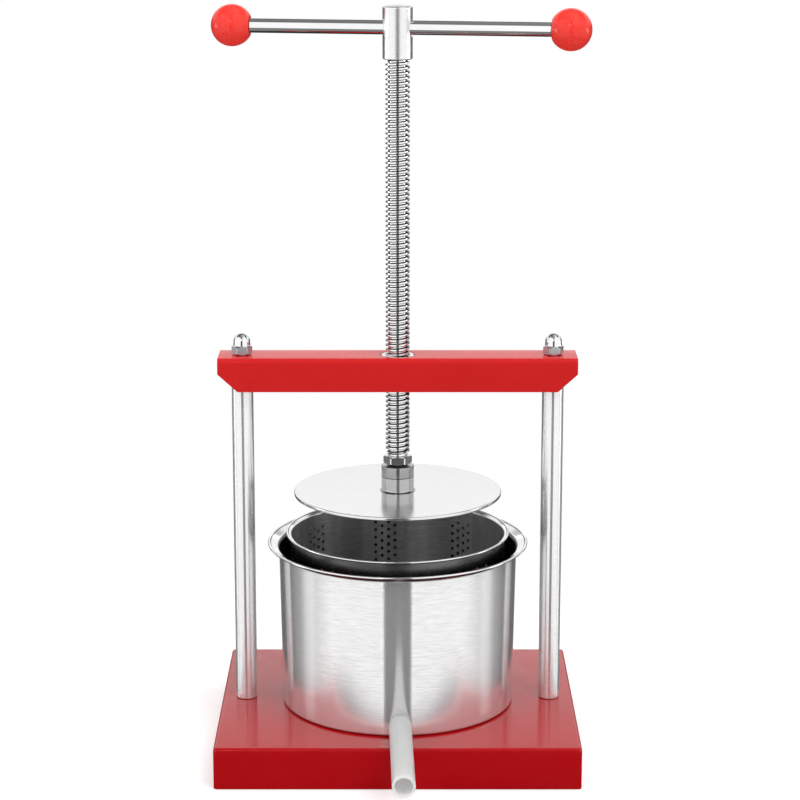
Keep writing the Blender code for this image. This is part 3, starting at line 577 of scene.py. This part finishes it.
def beam_mesh():
    """Bent channel with its lower end corners cut off and its three holes."""
    half, sheet, tip = BEAM_DEPTH / 2, BEAM_SHEET, -BEAM_LENGTH / 2
    bend, level = half - BEAM_BEND, BEAM_HEIGHT - BEAM_BEND
    outline = [(half, 0)] + arc(bend, level, BEAM_BEND, 0, 90) + arc(-bend, level, BEAM_BEND, 90, 180)
    outline += [(-half, 0), (sheet - half, 0)] + arc(-bend, level, BEAM_BEND - sheet, 180, 90, 5)
    outline += arc(bend, level, BEAM_BEND - sheet, 90, 0, 5) + [(half - sheet, 0)]
    bm = moved(extruded(outline, tip, -tip), shift(z=BEAM_BOTTOM))
    run = OVERSHOOT * BEAM_CORNER_LENGTH / BEAM_CORNER_HEIGHT
    rise = OVERSHOOT * BEAM_CORNER_HEIGHT / BEAM_CORNER_LENGTH
    corner = [(tip + BEAM_CORNER_LENGTH + run, -OVERSHOOT), (tip - OVERSHOOT, -OVERSHOOT),
              (tip - OVERSHOOT, BEAM_CORNER_HEIGHT + rise)]
    tools = [moved(extruded(corner, -half - OVERSHOOT, half + OVERSHOOT), shift(z=BEAM_BOTTOM) @ spin("Z", turn))
             for turn in (90, -90)]
    low, high = BEAM_TOP - sheet - OVERSHOOT, BEAM_TOP + OVERSHOOT
    for place, radius, steps in ((0, BUSH_SPIGOT / 2 + GAP, 96), (POST_SPACING / 2, STUD_HOLE, 48),
                                 (-POST_SPACING / 2, STUD_HOLE, 48)):
        tools.append(moved(drill(radius, low, high, steps), shift(place)))
    return cut_mesh(bm, merged(*tools))


def hexagon_radius(flats, angle, corner_share=0.985):
    """Reach of a hexagon at an angle; its corners end at a share of their full reach."""
    sector = angle % (pi / 3) - pi / 6
    return min(flats / 2 / cos(sector), flats / 2 / cos(pi / 6) * corner_share)


def hexagon_rings(bm, flats, low, high, angles, low_share, chamfer=30):
    """Rings of a hexagon, both ends chamfered at an angle in degrees to round faces of a share of the flats."""
    slope = tan(radians(chamfer))
    edge, high_share = 0.00012, 0.94
    rings = []
    for sign, level, face in ((1, low, flats / 2 * low_share), (-1, high, flats / 2 * high_share)):
        end = ring_stack(bm, ((face - edge, level), (face + edge, level + sign * edge * slope)), angles)
        loop = []
        for angle in angles:
            radius = hexagon_radius(flats, angle)
            loop += circle(bm, radius, level + sign * (radius - face) * slope, [angle])
        rings += (end + [loop])[::sign]
    return rings


def nut_mesh(flats, bore, height, low_share=0.94):
    bm = bmesh.new()
    angles = even_angles(120)
    chamfer = 0.0008
    rings = hexagon_rings(bm, flats, 0, height, angles, low_share)
    rings += ring_stack(bm, ((bore + chamfer, height), (bore, height - chamfer), (bore, chamfer),
                             (bore + chamfer, 0)), angles)
    joined_rings(bm, rings + rings[:1])
    return bm


def cap_nut_mesh():
    """Hexagon with a wide chamfer that runs into the polished dome, a little slimmer and lower than the solid."""
    bm = bmesh.new()
    angles = even_angles(120)
    slack, dome_steps = 0.0004, 16
    hexagon_top, tip = NUT_HEIGHT - slack, CAP_NUT_HEIGHT - slack
    rings = hexagon_rings(bm, NUT_FLATS - 0.0009, 0, hexagon_top, angles, 0.97, 45)
    dome, dome_start = CAP_DOME_DIAMETER / 2 - slack, NUT_HEIGHT + 0.0026
    outline = [(dome + 0.00012, hexagon_top), (dome, NUT_HEIGHT), (dome - 0.00005, NUT_HEIGHT + 0.0012)]
    for step in range(dome_steps):
        angle = pi / 2 * step / dome_steps
        outline.append(((dome - 0.0001) * cos(angle), dome_start + (tip - dome_start) * sin(angle)))
    rings += ring_stack(bm, outline + [(0, tip)], angles)
    joined_rings(bm, rings)
    mouth = 0.0006
    hollow = ring_stack(bm, ((STUD_HOLE + mouth, 0), (STUD_HOLE, mouth), (STUD_HOLE, CAP_BORE_DEPTH),
                             (0, CAP_BORE_DEPTH + STUD_HOLE / 3)), angles)
    joined_rings(bm, hollow)
    bridge(bm, rings[0], hollow[0])
    return bm


def washer_mesh():
    bore, rim, top = STUD_HOLE, WASHER_DIAMETER / 2, WASHER_THICKNESS
    return turned(softened([(bore, 0, 0.0002), (rim, 0, 0.0003), (rim, top, 0.0003), (bore, top, 0.0002)], True), 96)


def thread_profile(outer, inner, half_crest, pitch, ease, flank, root=None):
    """One pitch of a thread as radius and height from the crest's middle; ease and root round its edges."""
    slope = tan(radians(flank))
    foot = half_crest + (outer - inner) * slope
    root = root or ease
    return [
        (outer, -half_crest + ease), (outer, half_crest - ease),
        (outer - ease, half_crest + ease * slope), (inner + ease, foot - ease * slope),
        (inner, foot + ease), (inner, pitch - foot - root),
        (inner + root, pitch - foot + root * slope), (outer - ease, pitch - half_crest - ease * slope),
    ]


def thread_columns(bm, profile, pitch, start, end, end_radius, phase, steps, flanks=()):
    """A helical surface between two plain rings, which it returns.

    The thread fades out half a pitch before each of them. The profile's edges in flanks have the second material,
    a dark steel that is painted shade in the grooves.
    """
    angles = even_angles(steps)
    bottom, top = circle(bm, end_radius, start, angles), circle(bm, end_radius, end, angles)
    first, last = int((start - phase) // pitch) - 2, int((end - phase) // pitch) + 3
    columns = []
    for index, angle in enumerate(angles):
        lead = phase + pitch * index / steps
        column = []
        for turn in range(first, last):
            for radius, offset in profile:
                height = lead + turn * pitch + offset
                if height <= start:
                    column.append(bottom[index])
                elif height >= end:
                    column.append(top[index])
                else:
                    fade = min(1, min(height - start, end - height) / (pitch / 2))
                    column += circle(bm, end_radius + (radius - end_radius) * fade, height, [angle])
        columns.append(column)
    columns.append(columns[0][len(profile):])
    for near, far in zip(columns, columns[1:]):
        for level in range(len(far) - 1):
            finish = 1 if level % len(profile) in flanks else 0
            add_face(bm, (near[level], far[level], far[level + 1], near[level + 1]), finish)
    return bottom, top


def post_mesh():
    """Post with a plain stud above, inside the cap nut, and a threaded stud below."""
    bm = bmesh.new()
    steps = 48
    angles = even_angles(steps)
    stud, body = STUD_DIAMETER / 2, POST_DIAMETER / 2
    core = stud - STUD_DEPTH
    low, high = BASE_HEIGHT + GAP, BEAM_TOP - BEAM_SHEET - GAP
    tail = BASE_HEIGHT - BASE_SHEET - WASHER_THICKNESS - NUT_HEIGHT - 3 * GAP - STUD_TAIL
    tip = BEAM_TOP + STUD_RISE
    broken, eased, chamfer = 0.0006, 0.0002, 0.001
    profile = thread_profile(stud, core, half_crest=STUD_PITCH * 0.07, pitch=STUD_PITCH, ease=0.00004, flank=30)
    bottom, top = thread_columns(bm, profile, STUD_PITCH, tail + broken, BASE_HEIGHT - chamfer, core, tail, steps)
    lathed(bm, ((0, tail), (core - broken, tail)), angles, after=bottom)
    outline = ((core, low), (body - broken, low), (body - eased, low + eased), (body, low + broken),
               (body, high - broken), (body - eased, high - eased), (body - broken, high), (stud, high),
               (stud, tip - chamfer), (stud - chamfer, tip), (0, tip))
    lathed(bm, outline, angles, top)
    return bm


def bush_mesh():
    """Threaded bush: bright ring in the crossbeam's web, wider body under it."""
    bm = bmesh.new()
    steps = 64
    outer, inner = SCREW_DIAMETER / 2 + THREAD_RADIAL, THREAD_CORE + THREAD_RADIAL
    profile = thread_profile(outer, inner, PITCH * CREST_SHARE / 2 + THREAD_AXIAL, PITCH, ease=0.0001, flank=FLANK)
    shoulder = BEAM_TOP - BEAM_SHEET - GAP
    bottom, top = thread_columns(bm, profile, PITCH, BEAM_BOTTOM, BEAM_TOP, outer, THREAD_START, steps)
    spigot, body = BUSH_SPIGOT / 2, BUSH_BODY / 2
    outline = softened([(outer, BEAM_TOP), (spigot, BEAM_TOP, 0.0007), (spigot, shoulder), (body, shoulder, 0.0004),
                        (body, BEAM_BOTTOM, 0.0008), (outer, BEAM_BOTTOM)], False)[1:-1]
    lathed(bm, outline, even_angles(steps), top, bottom)
    return bm


def screw_mesh():
    """Trapezoidal screw with eased crests, collar and neck below and spigot above; its flanks are dark with painted
    shade.
    """
    bm = bmesh.new()
    steps = 48
    angles = even_angles(steps)
    profile = thread_profile(SCREW_DIAMETER / 2, THREAD_CORE, PITCH * CREST_SHARE / 2, PITCH, ease=0.00012,
                             flank=FLANK, root=0.00028)
    bottom, top = thread_columns(bm, profile, PITCH, THREAD_START + COLLAR_HEIGHT, THREAD_END, THREAD_CORE,
                                 THREAD_START, steps, flanks=(2, 3, 5, 6))
    neck, collar, chamfer = NECK_DIAMETER / 2, THREAD_CORE + 0.0007, 0.001
    lower = ((0, FOOT_BOTTOM), (neck - chamfer, FOOT_BOTTOM), (neck, FOOT_BOTTOM + chamfer), (neck, THREAD_START),
             (collar, THREAD_START), (collar, THREAD_START + COLLAR_HEIGHT))
    lathed(bm, lower, angles, after=bottom)
    lathed(bm, ((THREAD_CORE, THREAD_END + HEAD_SPIGOT), (0, THREAD_END + HEAD_SPIGOT)), angles, top)
    return bm


def head_mesh():
    """Head with rounded ends, bored below, and a cross hole with broken mouths; its top has the second finish."""
    radius = HEAD_DIAMETER / 2
    bore, bore_top = THREAD_CORE + GAP, HEAD_SPIGOT + GAP
    outline = softened([(0, bore_top), (bore, bore_top), (bore, 0, 0.0005), (radius, 0, 0.0010),
                        (radius, HEAD_HEIGHT, HEAD_EDGE), (0, HEAD_HEIGHT)], False, 6)
    hole, mouth, past = BAR_DIAMETER / 2 + GAP, radius - 0.0016, radius + OVERSHOOT
    wide = hole + 0.0030
    flare = [(0, -past), (wide, -past), (hole, -mouth), (hole, mouth), (wide, past), (0, past)]
    bm = cut_mesh(moved(turned(outline), shift(z=HEAD_BOTTOM)), moved(turned(flare, 96), BAR))
    bm.normal_update()
    for face in bm.faces:
        if face.normal.z > 0.95 and face.calc_center_median().z > HEAD_BOTTOM + HEAD_HEIGHT - 0.0002:
            face.material_index = 1
    return bm


def bar_mesh():
    body, spigot = BAR_DIAMETER / 2, BAR_SPIGOT / 2
    reach = KNOB_SPACING / 2 - sqrt((KNOB_DIAMETER / 2) ** 2 - (KNOB_FACE / 2) ** 2) - GAP
    tip = reach + BAR_SPIGOT_LENGTH
    outline = softened([(0, -tip), (spigot, -tip, 0.0006), (spigot, -reach), (body, -reach, 0.0005),
                        (body, reach, 0.0005), (spigot, reach), (spigot, tip, 0.0006), (0, tip)], False)
    return moved(turned(outline, 96), shift(z=BAR_SHIFT))


def knob_mesh(side):
    """Ball with a flat face round the bar."""
    knob, face, hole = KNOB_DIAMETER / 2, KNOB_FACE / 2, BAR_SPIGOT / 2 + GAP
    distance = sqrt(knob ** 2 - face ** 2)
    end = BAR_SPIGOT_LENGTH + 0.001 - distance
    chamfer = 0.0005
    ball = arc(0, 0, knob, degrees(asin(-distance / knob)) + 3, 90, 40)
    flat = [(0, end), (hole, end), (hole, -distance + chamfer), (hole + chamfer, -distance),
            (face - 0.0008, -distance), (face - 0.0002, -distance + 0.0001)]
    turn = spin("X", 0 if side > 0 else 180)
    return moved(turned(flat + ball[:-1] + [(0, knob)], 96), shift(z=BAR_SHIFT + side * KNOB_SPACING / 2) @ turn)


def plate_mesh():
    radius, low, edge = PLATE_DIAMETER / 2, PLATE_TOP - PLATE_THICKNESS, 0.0009
    return turned(softened([(0, low), (radius, low, edge), (radius, PLATE_TOP, edge), (0, PLATE_TOP)], False, 5), 256)


def socket_mesh():
    """Hub socket with its weld fillet onto the plate."""
    outer, bore, collar = HUB_DIAMETER / 2, HUB_BORE / 2, HUB_COLLAR / 2
    floor = HUB_BOTTOM + HUB_FLOOR
    outline = [(0, HUB_BOTTOM)] + arc(outer + HUB_WELD, HUB_BOTTOM + HUB_WELD, HUB_WELD, 270, 180, 6)
    outline += softened([(outer, HUB_BOTTOM + 0.003), (outer, HUB_SEAM, 0.0004), (collar, HUB_SEAM),
                         (collar, FOOT_TOP, 0.0003), (bore, FOOT_TOP), (bore, floor), (0, floor)], False)
    return turned(outline)


def swivel_cap_mesh():
    outer, collar, neck = HUB_DIAMETER / 2, HUB_COLLAR / 2 + GAP, NECK_DIAMETER / 2 + 2 * GAP
    bottom, inside = HUB_SEAM + GAP, FOOT_TOP + GAP
    return turned(softened([(collar, bottom), (outer, bottom, 0.0004), (outer, CAP_TOP, 0.0011),
                            (neck, CAP_TOP, 0.0005), (neck, inside), (collar, inside)], True, 6))


def rolled_rim(rim, wall, top, sheet, bend, bead, slope=22):
    """Outline of a flared rim with a rolled bead at its edge, from outside the wall to inside it.

    The flare bends out of the wall and then rises at the slope, in degrees, to a groove beside the bead.
    """
    normal = 90 + slope
    edge = rim - bead - bead * cos(radians(35))
    groove, groove_top = edge - 0.00038, top - 0.86 * bead
    flare_end = groove - 0.00012
    rise = tan(radians(slope))
    start = wall + bend + (bend + sheet) * cos(radians(normal))
    bottom = groove_top - (flare_end - start) * rise - (bend + sheet) * sin(radians(normal))
    points = arc(wall + bend, bottom, bend, 180, normal) + arc(rim - bead, top - bead, bead, 228, 505, 22)
    points += [(edge - 0.0002, top - 1.6 * bead), (groove, top - 0.95 * bead), (flare_end, groove_top)]
    return points + arc(wall + bend, bottom, bend + sheet, normal, 180)


def pot_mesh():
    """Juice pot: drawn body with a rolled rim and the hole for the outlet stub."""
    corner, sheet, low, high = POT_CORNER, POT_SHEET, POT_LOW / 2, POT_TOP / 2
    floor, rim_reach = (0, 0.03, 0.06, 0.085), 0.004
    wall = [(low + (high - low) * share, corner + (POT_HEIGHT - corner - rim_reach) * share)
            for share in (0.2, 0.4, 0.6, 0.8)]
    outline = [(radius, 0) for radius in floor] + arc(low - corner, corner, corner, -90, 0, 10) + wall
    outline += rolled_rim(POT_RIM / 2, high, POT_HEIGHT, sheet, POT_LIP, 0.0011)
    outline += [(radius - sheet, level) for radius, level in reversed(wall)]
    outline += arc(low - corner, corner, corner - sheet, 0, -90) + [(radius, sheet) for radius in reversed(floor)]
    tool = drill(STUB_DIAMETER / 2 + GAP, WALL_AT_OUTLET / 2, TUBE_START + OVERSHOOT, 64)
    return cut_mesh(moved(turned(outline, 256), shift(z=POT_BOTTOM)), moved(tool, OUTLET))


def stub_mesh():
    outer, edge = STUB_DIAMETER / 2, 0.0003
    inner = outer - STUB_WALL
    start, end = WALL_AT_OUTLET - POT_SHEET - STUB_INSIDE, TUBE_START + STUB_LENGTH
    return turned(softened([(inner, start, edge), (outer, start, edge), (outer, end, edge), (inner, end, edge)],
                           True), 96)


def tube_mesh():
    """Tube with a tapered shoulder where it meets the pot."""
    outer, taper = TUBE_DIAMETER / 2, 0.004
    inner, neck = outer - TUBE_WALL, outer - 0.0012
    return turned(softened([(inner, TUBE_START), (neck, TUBE_START, 0.0005), (outer, TUBE_START + taper, taper),
                            (outer, TUBE_START + TUBE_LENGTH / 2), (outer, TUBE_END, 0.0007),
                            (inner, TUBE_END, 0.0006)], True))


def basket_mesh():
    """Basket whose wall has its groups of drain holes cut as real openings.

    The wall is a grid of cells, outside and inside: a hole takes four by four of them, and every other column
    of holes starts half a row lower.
    """
    bm = bmesh.new()
    sheet, corner, inner = BASKET_SHEET, BASKET_CORNER, BASKET_INSIDE / 2
    outer = inner + sheet
    step, group_turn = COLUMN_PITCH / outer, 2 * pi / HOLE_GROUPS
    holed, plain, hole_steps = 4 * HOLE_COLUMNS, 12, 16
    angles = []
    for group in range(HOLE_GROUPS):
        start = radians(90 - GROUP_START) + group_turn * group - HOLE_COLUMNS / 2 * step
        rest = group_turn - HOLE_COLUMNS * step
        angles += [start + step * cell / 4 for cell in range(holed)]
        angles += [start + HOLE_COLUMNS * step + rest * cell / plain for cell in range(plain)]
    lines = 4 * HOLE_ROWS + 2
    band_top = BASKET_HEIGHT - HOLE_TOP + ROW_PITCH / 2
    levels = [band_top - ROW_PITCH / 4 * line for line in range(lines + 1)]
    walls = [[circle(bm, radius, level, angles) for level in levels] for radius in (outer, inner)]
    for column in range(len(angles)):
        cell, after = column % (holed + plain), (column + 1) % len(angles)
        lower = 2 * (cell // 4 % 2)
        for line in range(lines):
            if cell >= holed or not lower <= line < lower + 4 * HOLE_ROWS:
                for wall in walls:
                    above, below = wall[line], wall[line + 1]
                    add_face(bm, (above[column], above[after], below[after], below[column]))
            elif cell % 4 == 0 and (line - lower) % 4 == 0:
                loop = [(column + k, line) for k in range(4)] + [(column + 4, line + k) for k in range(4)]
                loop += [(column + 4 - k, line + 4) for k in range(4)] + [(column, line + 4 - k) for k in range(4)]
                pair = []
                for wall, radius in zip(walls, (outer, inner)):
                    hole = []
                    for k in range(hole_steps):
                        turn = radians(135) - 2 * pi * k / hole_steps
                        angle = angles[column] + step / 2 + HOLE_DIAMETER / 2 * cos(turn) / outer
                        level = levels[line] - ROW_PITCH / 2 + HOLE_DIAMETER / 2 * sin(turn)
                        hole += circle(bm, radius, level, [angle])
                    bridge(bm, [wall[y][x] for x, y in loop], hole)
                    pair.append(hole)
                bridge(bm, *pair)
    bend = outer - corner
    below = arc(bend, corner, corner, 0, -90) + [(0.07, 0), (0.04, 0), (0, 0)]
    floor = [(0, sheet), (0.04, sheet), (0.07, sheet)] + arc(bend, corner, corner - sheet, -90, 0)
    above = rolled_rim(BASKET_RIM / 2, outer, BASKET_HEIGHT, sheet, 0.001, 0.00085)
    outside, inside = walls
    lathed(bm, below, angles, outside[-1])
    lathed(bm, floor, angles, after=inside[-1])
    lathed(bm, above, angles, outside[0], inside[0])
    bmesh.ops.delete(bm, geom=[vert for vert in bm.verts if not vert.link_faces], context="VERTS")
    return moved(bm, shift(z=BASKET_BOTTOM))


# ---- the press

def build_press():
    finished("base_tray", base_mesh(), BASE_SHADED_RED, AXIS, "frame", "base")
    finished("crossbeam_channel", beam_mesh(), BEAM_RED, AXIS, "frame", "crossbeam", bevel=0.0005)
    finished("threaded_bush", bush_mesh(), NICKEL, AXIS, "frame", "screw_bush")
    washer_bottom = BASE_HEIGHT - BASE_SHEET - GAP - WASHER_THICKNESS
    for side, name in ((-1, "left"), (1, "right")):
        place = AXIS @ shift(side * POST_SPACING / 2)
        finished(f"post_{name}_bar", post_mesh(), GROUND, place, "frame", f"post_{name}")
        top = place @ shift(z=BEAM_TOP + GAP) @ spin("Z", NUT_TURN)
        finished(f"cap_nut_{name}_domed", cap_nut_mesh(), ZINC, top, "frame", f"cap_nut_{name}",
                 rim=NUT_HEIGHT - CAP_POLISH)
        finished(f"post_washer_{name}_flat", washer_mesh(), NICKEL, place @ shift(z=washer_bottom), "frame",
                 f"post_washer_{name}")
        finished(f"post_nut_{name}_hexagon", nut_mesh(NUT_FLATS, STUD_HOLE, NUT_HEIGHT), NICKEL,
                 place @ shift(z=washer_bottom - GAP - NUT_HEIGHT), "frame", f"post_nut_{name}")
    finished("trapezoidal_screw", screw_mesh(), CHROME, AXIS, "screw", "press_screw", sharp=50, others=[FLANK_SHADE_STEEL])
    finished("cross_head", head_mesh(), HEAD_STEEL, AXIS, "screw", "screw_head", others=[HUB_STEEL])
    finished("lock_nut_hexagon", nut_mesh(LOCK_FLATS, NECK_DIAMETER / 2 + GAP, LOCK_HEIGHT, 0.80), NICKEL,
             AXIS @ shift(z=LOCK_BOTTOM), "screw", "lock_nut")
    finished("handle_bar_round", bar_mesh(), BAR_CHROME, BAR_AXIS, "bar", "handle_bar", baked=True)
    for side, name in ((-1, "left"), (1, "right")):
        finished(f"ball_knob_{name}_moulded", knob_mesh(side), KNOB_RED, BAR_AXIS, "bar", f"ball_knob_{name}",
                 baked=True)
    finished("press_plate_disc", plate_mesh(), SATIN, AXIS, "plate", "press_plate")
    finished("hub_socket_welded", socket_mesh(), SOCKET_STEEL, AXIS, "plate", "hub_socket")
    finished("swivel_cap_turned", swivel_cap_mesh(), HUB_STEEL, AXIS, "plate", "swivel_cap")
    finished("juice_pot_drawn", pot_mesh(), POT_STEEL, POT_AXIS, "pot", "juice_pot",
             rim=POT_BOTTOM + POT_HEIGHT - POT_POLISH, shaded_side=-1)
    finished("outlet_stub_pipe", stub_mesh(), STUB_STEEL, OUTLET_AXIS, "pot", "outlet_stub")
    finished("outlet_tube_frosted", tube_mesh(), FROSTED, OUTLET_AXIS, "pot", "outlet_tube")
    finished("basket_perforated", basket_mesh(), BASKET_STEEL, POT_AXIS, "basket", "basket",
             rim=BASKET_BOTTOM + BASKET_HEIGHT - BASKET_POLISH, shaded_side=1)
    for node, surface in (("screw_foot", DARK_STEEL), ("thrust_washer", BRONZE)):
        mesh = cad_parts[node].data
        mesh.materials.clear()
        mesh.materials.append(surface)


# ---- room, light and camera

def make_world():
    """Plain white light; glossy rays see a white studio with a dark strip ahead, a dark back and ceiling.

    Its layers are greys all round, alike left and right, with stops in degrees from ahead, 0, to behind, 180.
    Each takes over from the one below between two elevations. Light boxes are added, a broad one at both sides
    and a small one high ahead on the left.
    """
    box_strength, studio_strength, plain_strength = 4.5, 1.15, 0.62
    white = (1, 1, 1, 1)
    world = bpy.data.worlds.new("studio")
    bpy.context.scene.world = world
    world.use_nodes = True
    tree = world.node_tree
    tree.nodes.clear()
    x, y, z = axes(tree, add(tree, "ShaderNodeTexCoord").outputs["Generated"])
    azimuth = maths(tree, "ARCTAN2", maths(tree, "ABSOLUTE", x), maths(tree, "MULTIPLY", y, -1.0))
    azimuth = maths(tree, "DIVIDE", azimuth, pi)
    elevation = maths(tree, "ADD", maths(tree, "DIVIDE", maths(tree, "ARCSINE", z), pi), 0.5)

    def round_about(*stops):
        return ramp(tree, azimuth, [(place / 180, value) for place, value in stops])

    def upwards(*stops, kind="LINEAR"):
        return ramp(tree, elevation, [((height + 90) / 180, value) for height, value in stops], kind)

    def box(places, heights):
        """Light that fades in between the first two limits and out between the last two."""
        fade = (0.0, 1.0, 1.0, 0.0)
        return maths(tree, "MULTIPLY", round_about(*zip(places, fade)), upwards(*zip(heights, fade)))

    strip = (0, 0.10), (12.2, 0.10), (12.6, 0.06), (13.3, 0.06), (13.7, 1.5), (14.6, 1.5), (15.0, 1.0)
    pale_strip = (0, 0.32), (12.2, 0.32), (13.7, 1.2), (15.0, 1.0)
    ground = round_about((0, 0.20), (75, 0.22), (100, 0.04), (180, 0.02))
    low = round_about(*strip, (68, 1.0), (92, 0.62), (112, 0.28), (126, 0.10), (146, 0.05), (164, 0.08), (172, 0.9),
                      (180, 1.0))
    middle = round_about(*pale_strip, (80, 1.0), (110, 0.80), (180, 0.90))
    back = round_about(*pale_strip, (80, 1.0), (110, 0.9), (160, 1.0), (172, 1.5), (180, 1.5))
    beyond = round_about(*pale_strip, (80, 1.0), (110, 0.85), (160, 0.70), (172, 0.30), (180, 0.30))
    high = round_about((0, 0.10), (12.2, 0.10), (15.0, 1.0), (85, 0.95), (100, 0.14), (180, 0.10))
    across = maths(tree, "ADD", maths(tree, "MULTIPLY", x, 0.5), 0.5)
    top = ramp(tree, across, [(0.30, 0.10), (0.50, 0.26), (0.70, 0.80)])
    studio = ground
    for layer, start, end in ((low, -33, -27), (middle, 4, 9), (back, 16.5, 18.5), (beyond, 19.6, 21.4),
                              (middle, 24, 28), (high, 32, 38), (top, 52, 62)):
        studio = blend(tree, upwards((start, 0.0), (end, 1.0), kind="EASE"), studio, layer)
    side_box = box((84, 90, 98, 104), (-10.8, -7.2, 1.8, 4.5))
    small_box = maths(tree, "MULTIPLY", box((3, 6, 14, 17), (21.6, 25.2, 30.6, 34.2)),
                      maths(tree, "LESS_THAN", x, 0.0))
    boxes = maths(tree, "MULTIPLY", maths(tree, "ADD", side_box, small_box), box_strength)
    studio = blend(tree, 1.0, studio, boxes, "ADD")
    reflected, plain, seen = [
        add(tree, "ShaderNodeBackground", {"Color": colour, "Strength": strength}).outputs[0]
        for colour, strength in ((studio, studio_strength), (white, plain_strength), (white, 1.0))]
    path = add(tree, "ShaderNodeLightPath")
    shown = plain
    for layer, name in ((reflected, "Is Glossy Ray"), (reflected, "Is Transmission Ray"), (seen, "Is Camera Ray")):
        shown = mixed_shader(tree, path.outputs[name], shown, layer)
    add(tree, "ShaderNodeOutputWorld", {"Surface": shown})


def make_floor():
    """Pale floor that takes the shadow; reflections see the room through it, but for a painted dark patch near the
    base.
    """
    bm = bmesh.new()
    bmesh.ops.create_grid(bm, x_segments=4, y_segments=4, size=4.0)
    floor = placed("floor", mesh_of(bm, "floor"))
    floor.location = (0, 0, -0.0002)
    surface, tree, place = new_material("pale_floor")
    floor.data.materials.append(surface)
    x, y, _ = axes(tree, place)

    def outside(coordinate, middle, half):
        """Distance from a strip."""
        reach = maths(tree, "ABSOLUTE", maths(tree, "SUBTRACT", coordinate, middle))
        return maths(tree, "MAXIMUM", maths(tree, "SUBTRACT", reach, half), 0.0)

    def glow(grey, strength):
        inputs = {"Color": (grey, grey, grey, 1), "Strength": strength}
        return add(tree, "ShaderNodeEmission", inputs).outputs[0]

    away = length(tree, outside(x, 0.0, BASE_WIDTH / 2), outside(y, AXIS_Y, BASE_DEPTH / 2))
    path = add(tree, "ShaderNodeLightPath").outputs
    grain = between(tree, noise(tree, place, 35.0, 3.0), 0.80, 0.82)
    diffuse = add(tree, "ShaderNodeBsdfDiffuse", {"Color": grain}).outputs[0]
    lit = add(tree, "ShaderNodeAddShader", {0: diffuse, 1: glow(1, 0.30)}).outputs[0]
    far = ramp(tree, away, [(0.10, 0.0), (0.45, 1.0)], "EASE")
    shown = mixed_shader(tree, path["Is Camera Ray"], diffuse, mixed_shader(tree, far, lit, glow(1, 1.0)))
    # Near the base glossy rays see a dark glow instead of the room: painted shade in the floor's reflection.
    clear = ramp(tree, away, [(0.075, 0.0), (0.10, 1.0)], "EASE")
    through = add(tree, "ShaderNodeBsdfTransparent").outputs[0]
    seen_mirrored_with_painted_shade = mixed_shader(tree, clear, glow(0.03, 1.0), through)
    whole = mixed_shader(tree, path["Is Glossy Ray"], shown, seen_mirrored_with_painted_shade)
    add(tree, "ShaderNodeOutputMaterial", {"Surface": whole})


def make_lamp(name, place, energy):
    """A soft square lamp that looks at the press and isn't seen in reflections."""
    lamp = having(bpy.data.lights.new(name, "AREA"), shape="SQUARE", size=1.3, energy=energy)
    look = Vector((0, AXIS_Y, 0.25)) - Vector(place)
    having(placed(name, lamp), location=place, rotation_euler=look.to_track_quat("-Z", "Y").to_euler(),
           visible_glossy=False, visible_transmission=False)


def make_camera():
    """Camera as fitted to the photo's edges."""
    side, distance, height, tilt = 0.00195, 2.0437, 0.7793, 76.704
    camera = having(bpy.data.cameras.new("camera"), lens=113.1, sensor_width=36.0, clip_end=50.0)
    bpy.context.scene.camera = having(placed("camera", camera), location=(side, AXIS_Y - distance, height),
                                      rotation_euler=(radians(tilt), 0, 0))


build_press()
make_world()
make_floor()
make_lamp("key", (0.9, -1.2, 2.2), 25.0)
make_lamp("above", (0.1, 0.1, 2.4), 13.5)
make_lamp("fill", (-1.5, -0.9, 1.3), 9.0)
make_camera()
bpy.context.scene.view_settings.view_transform = "Standard"

bpy.context.view_layer.update()
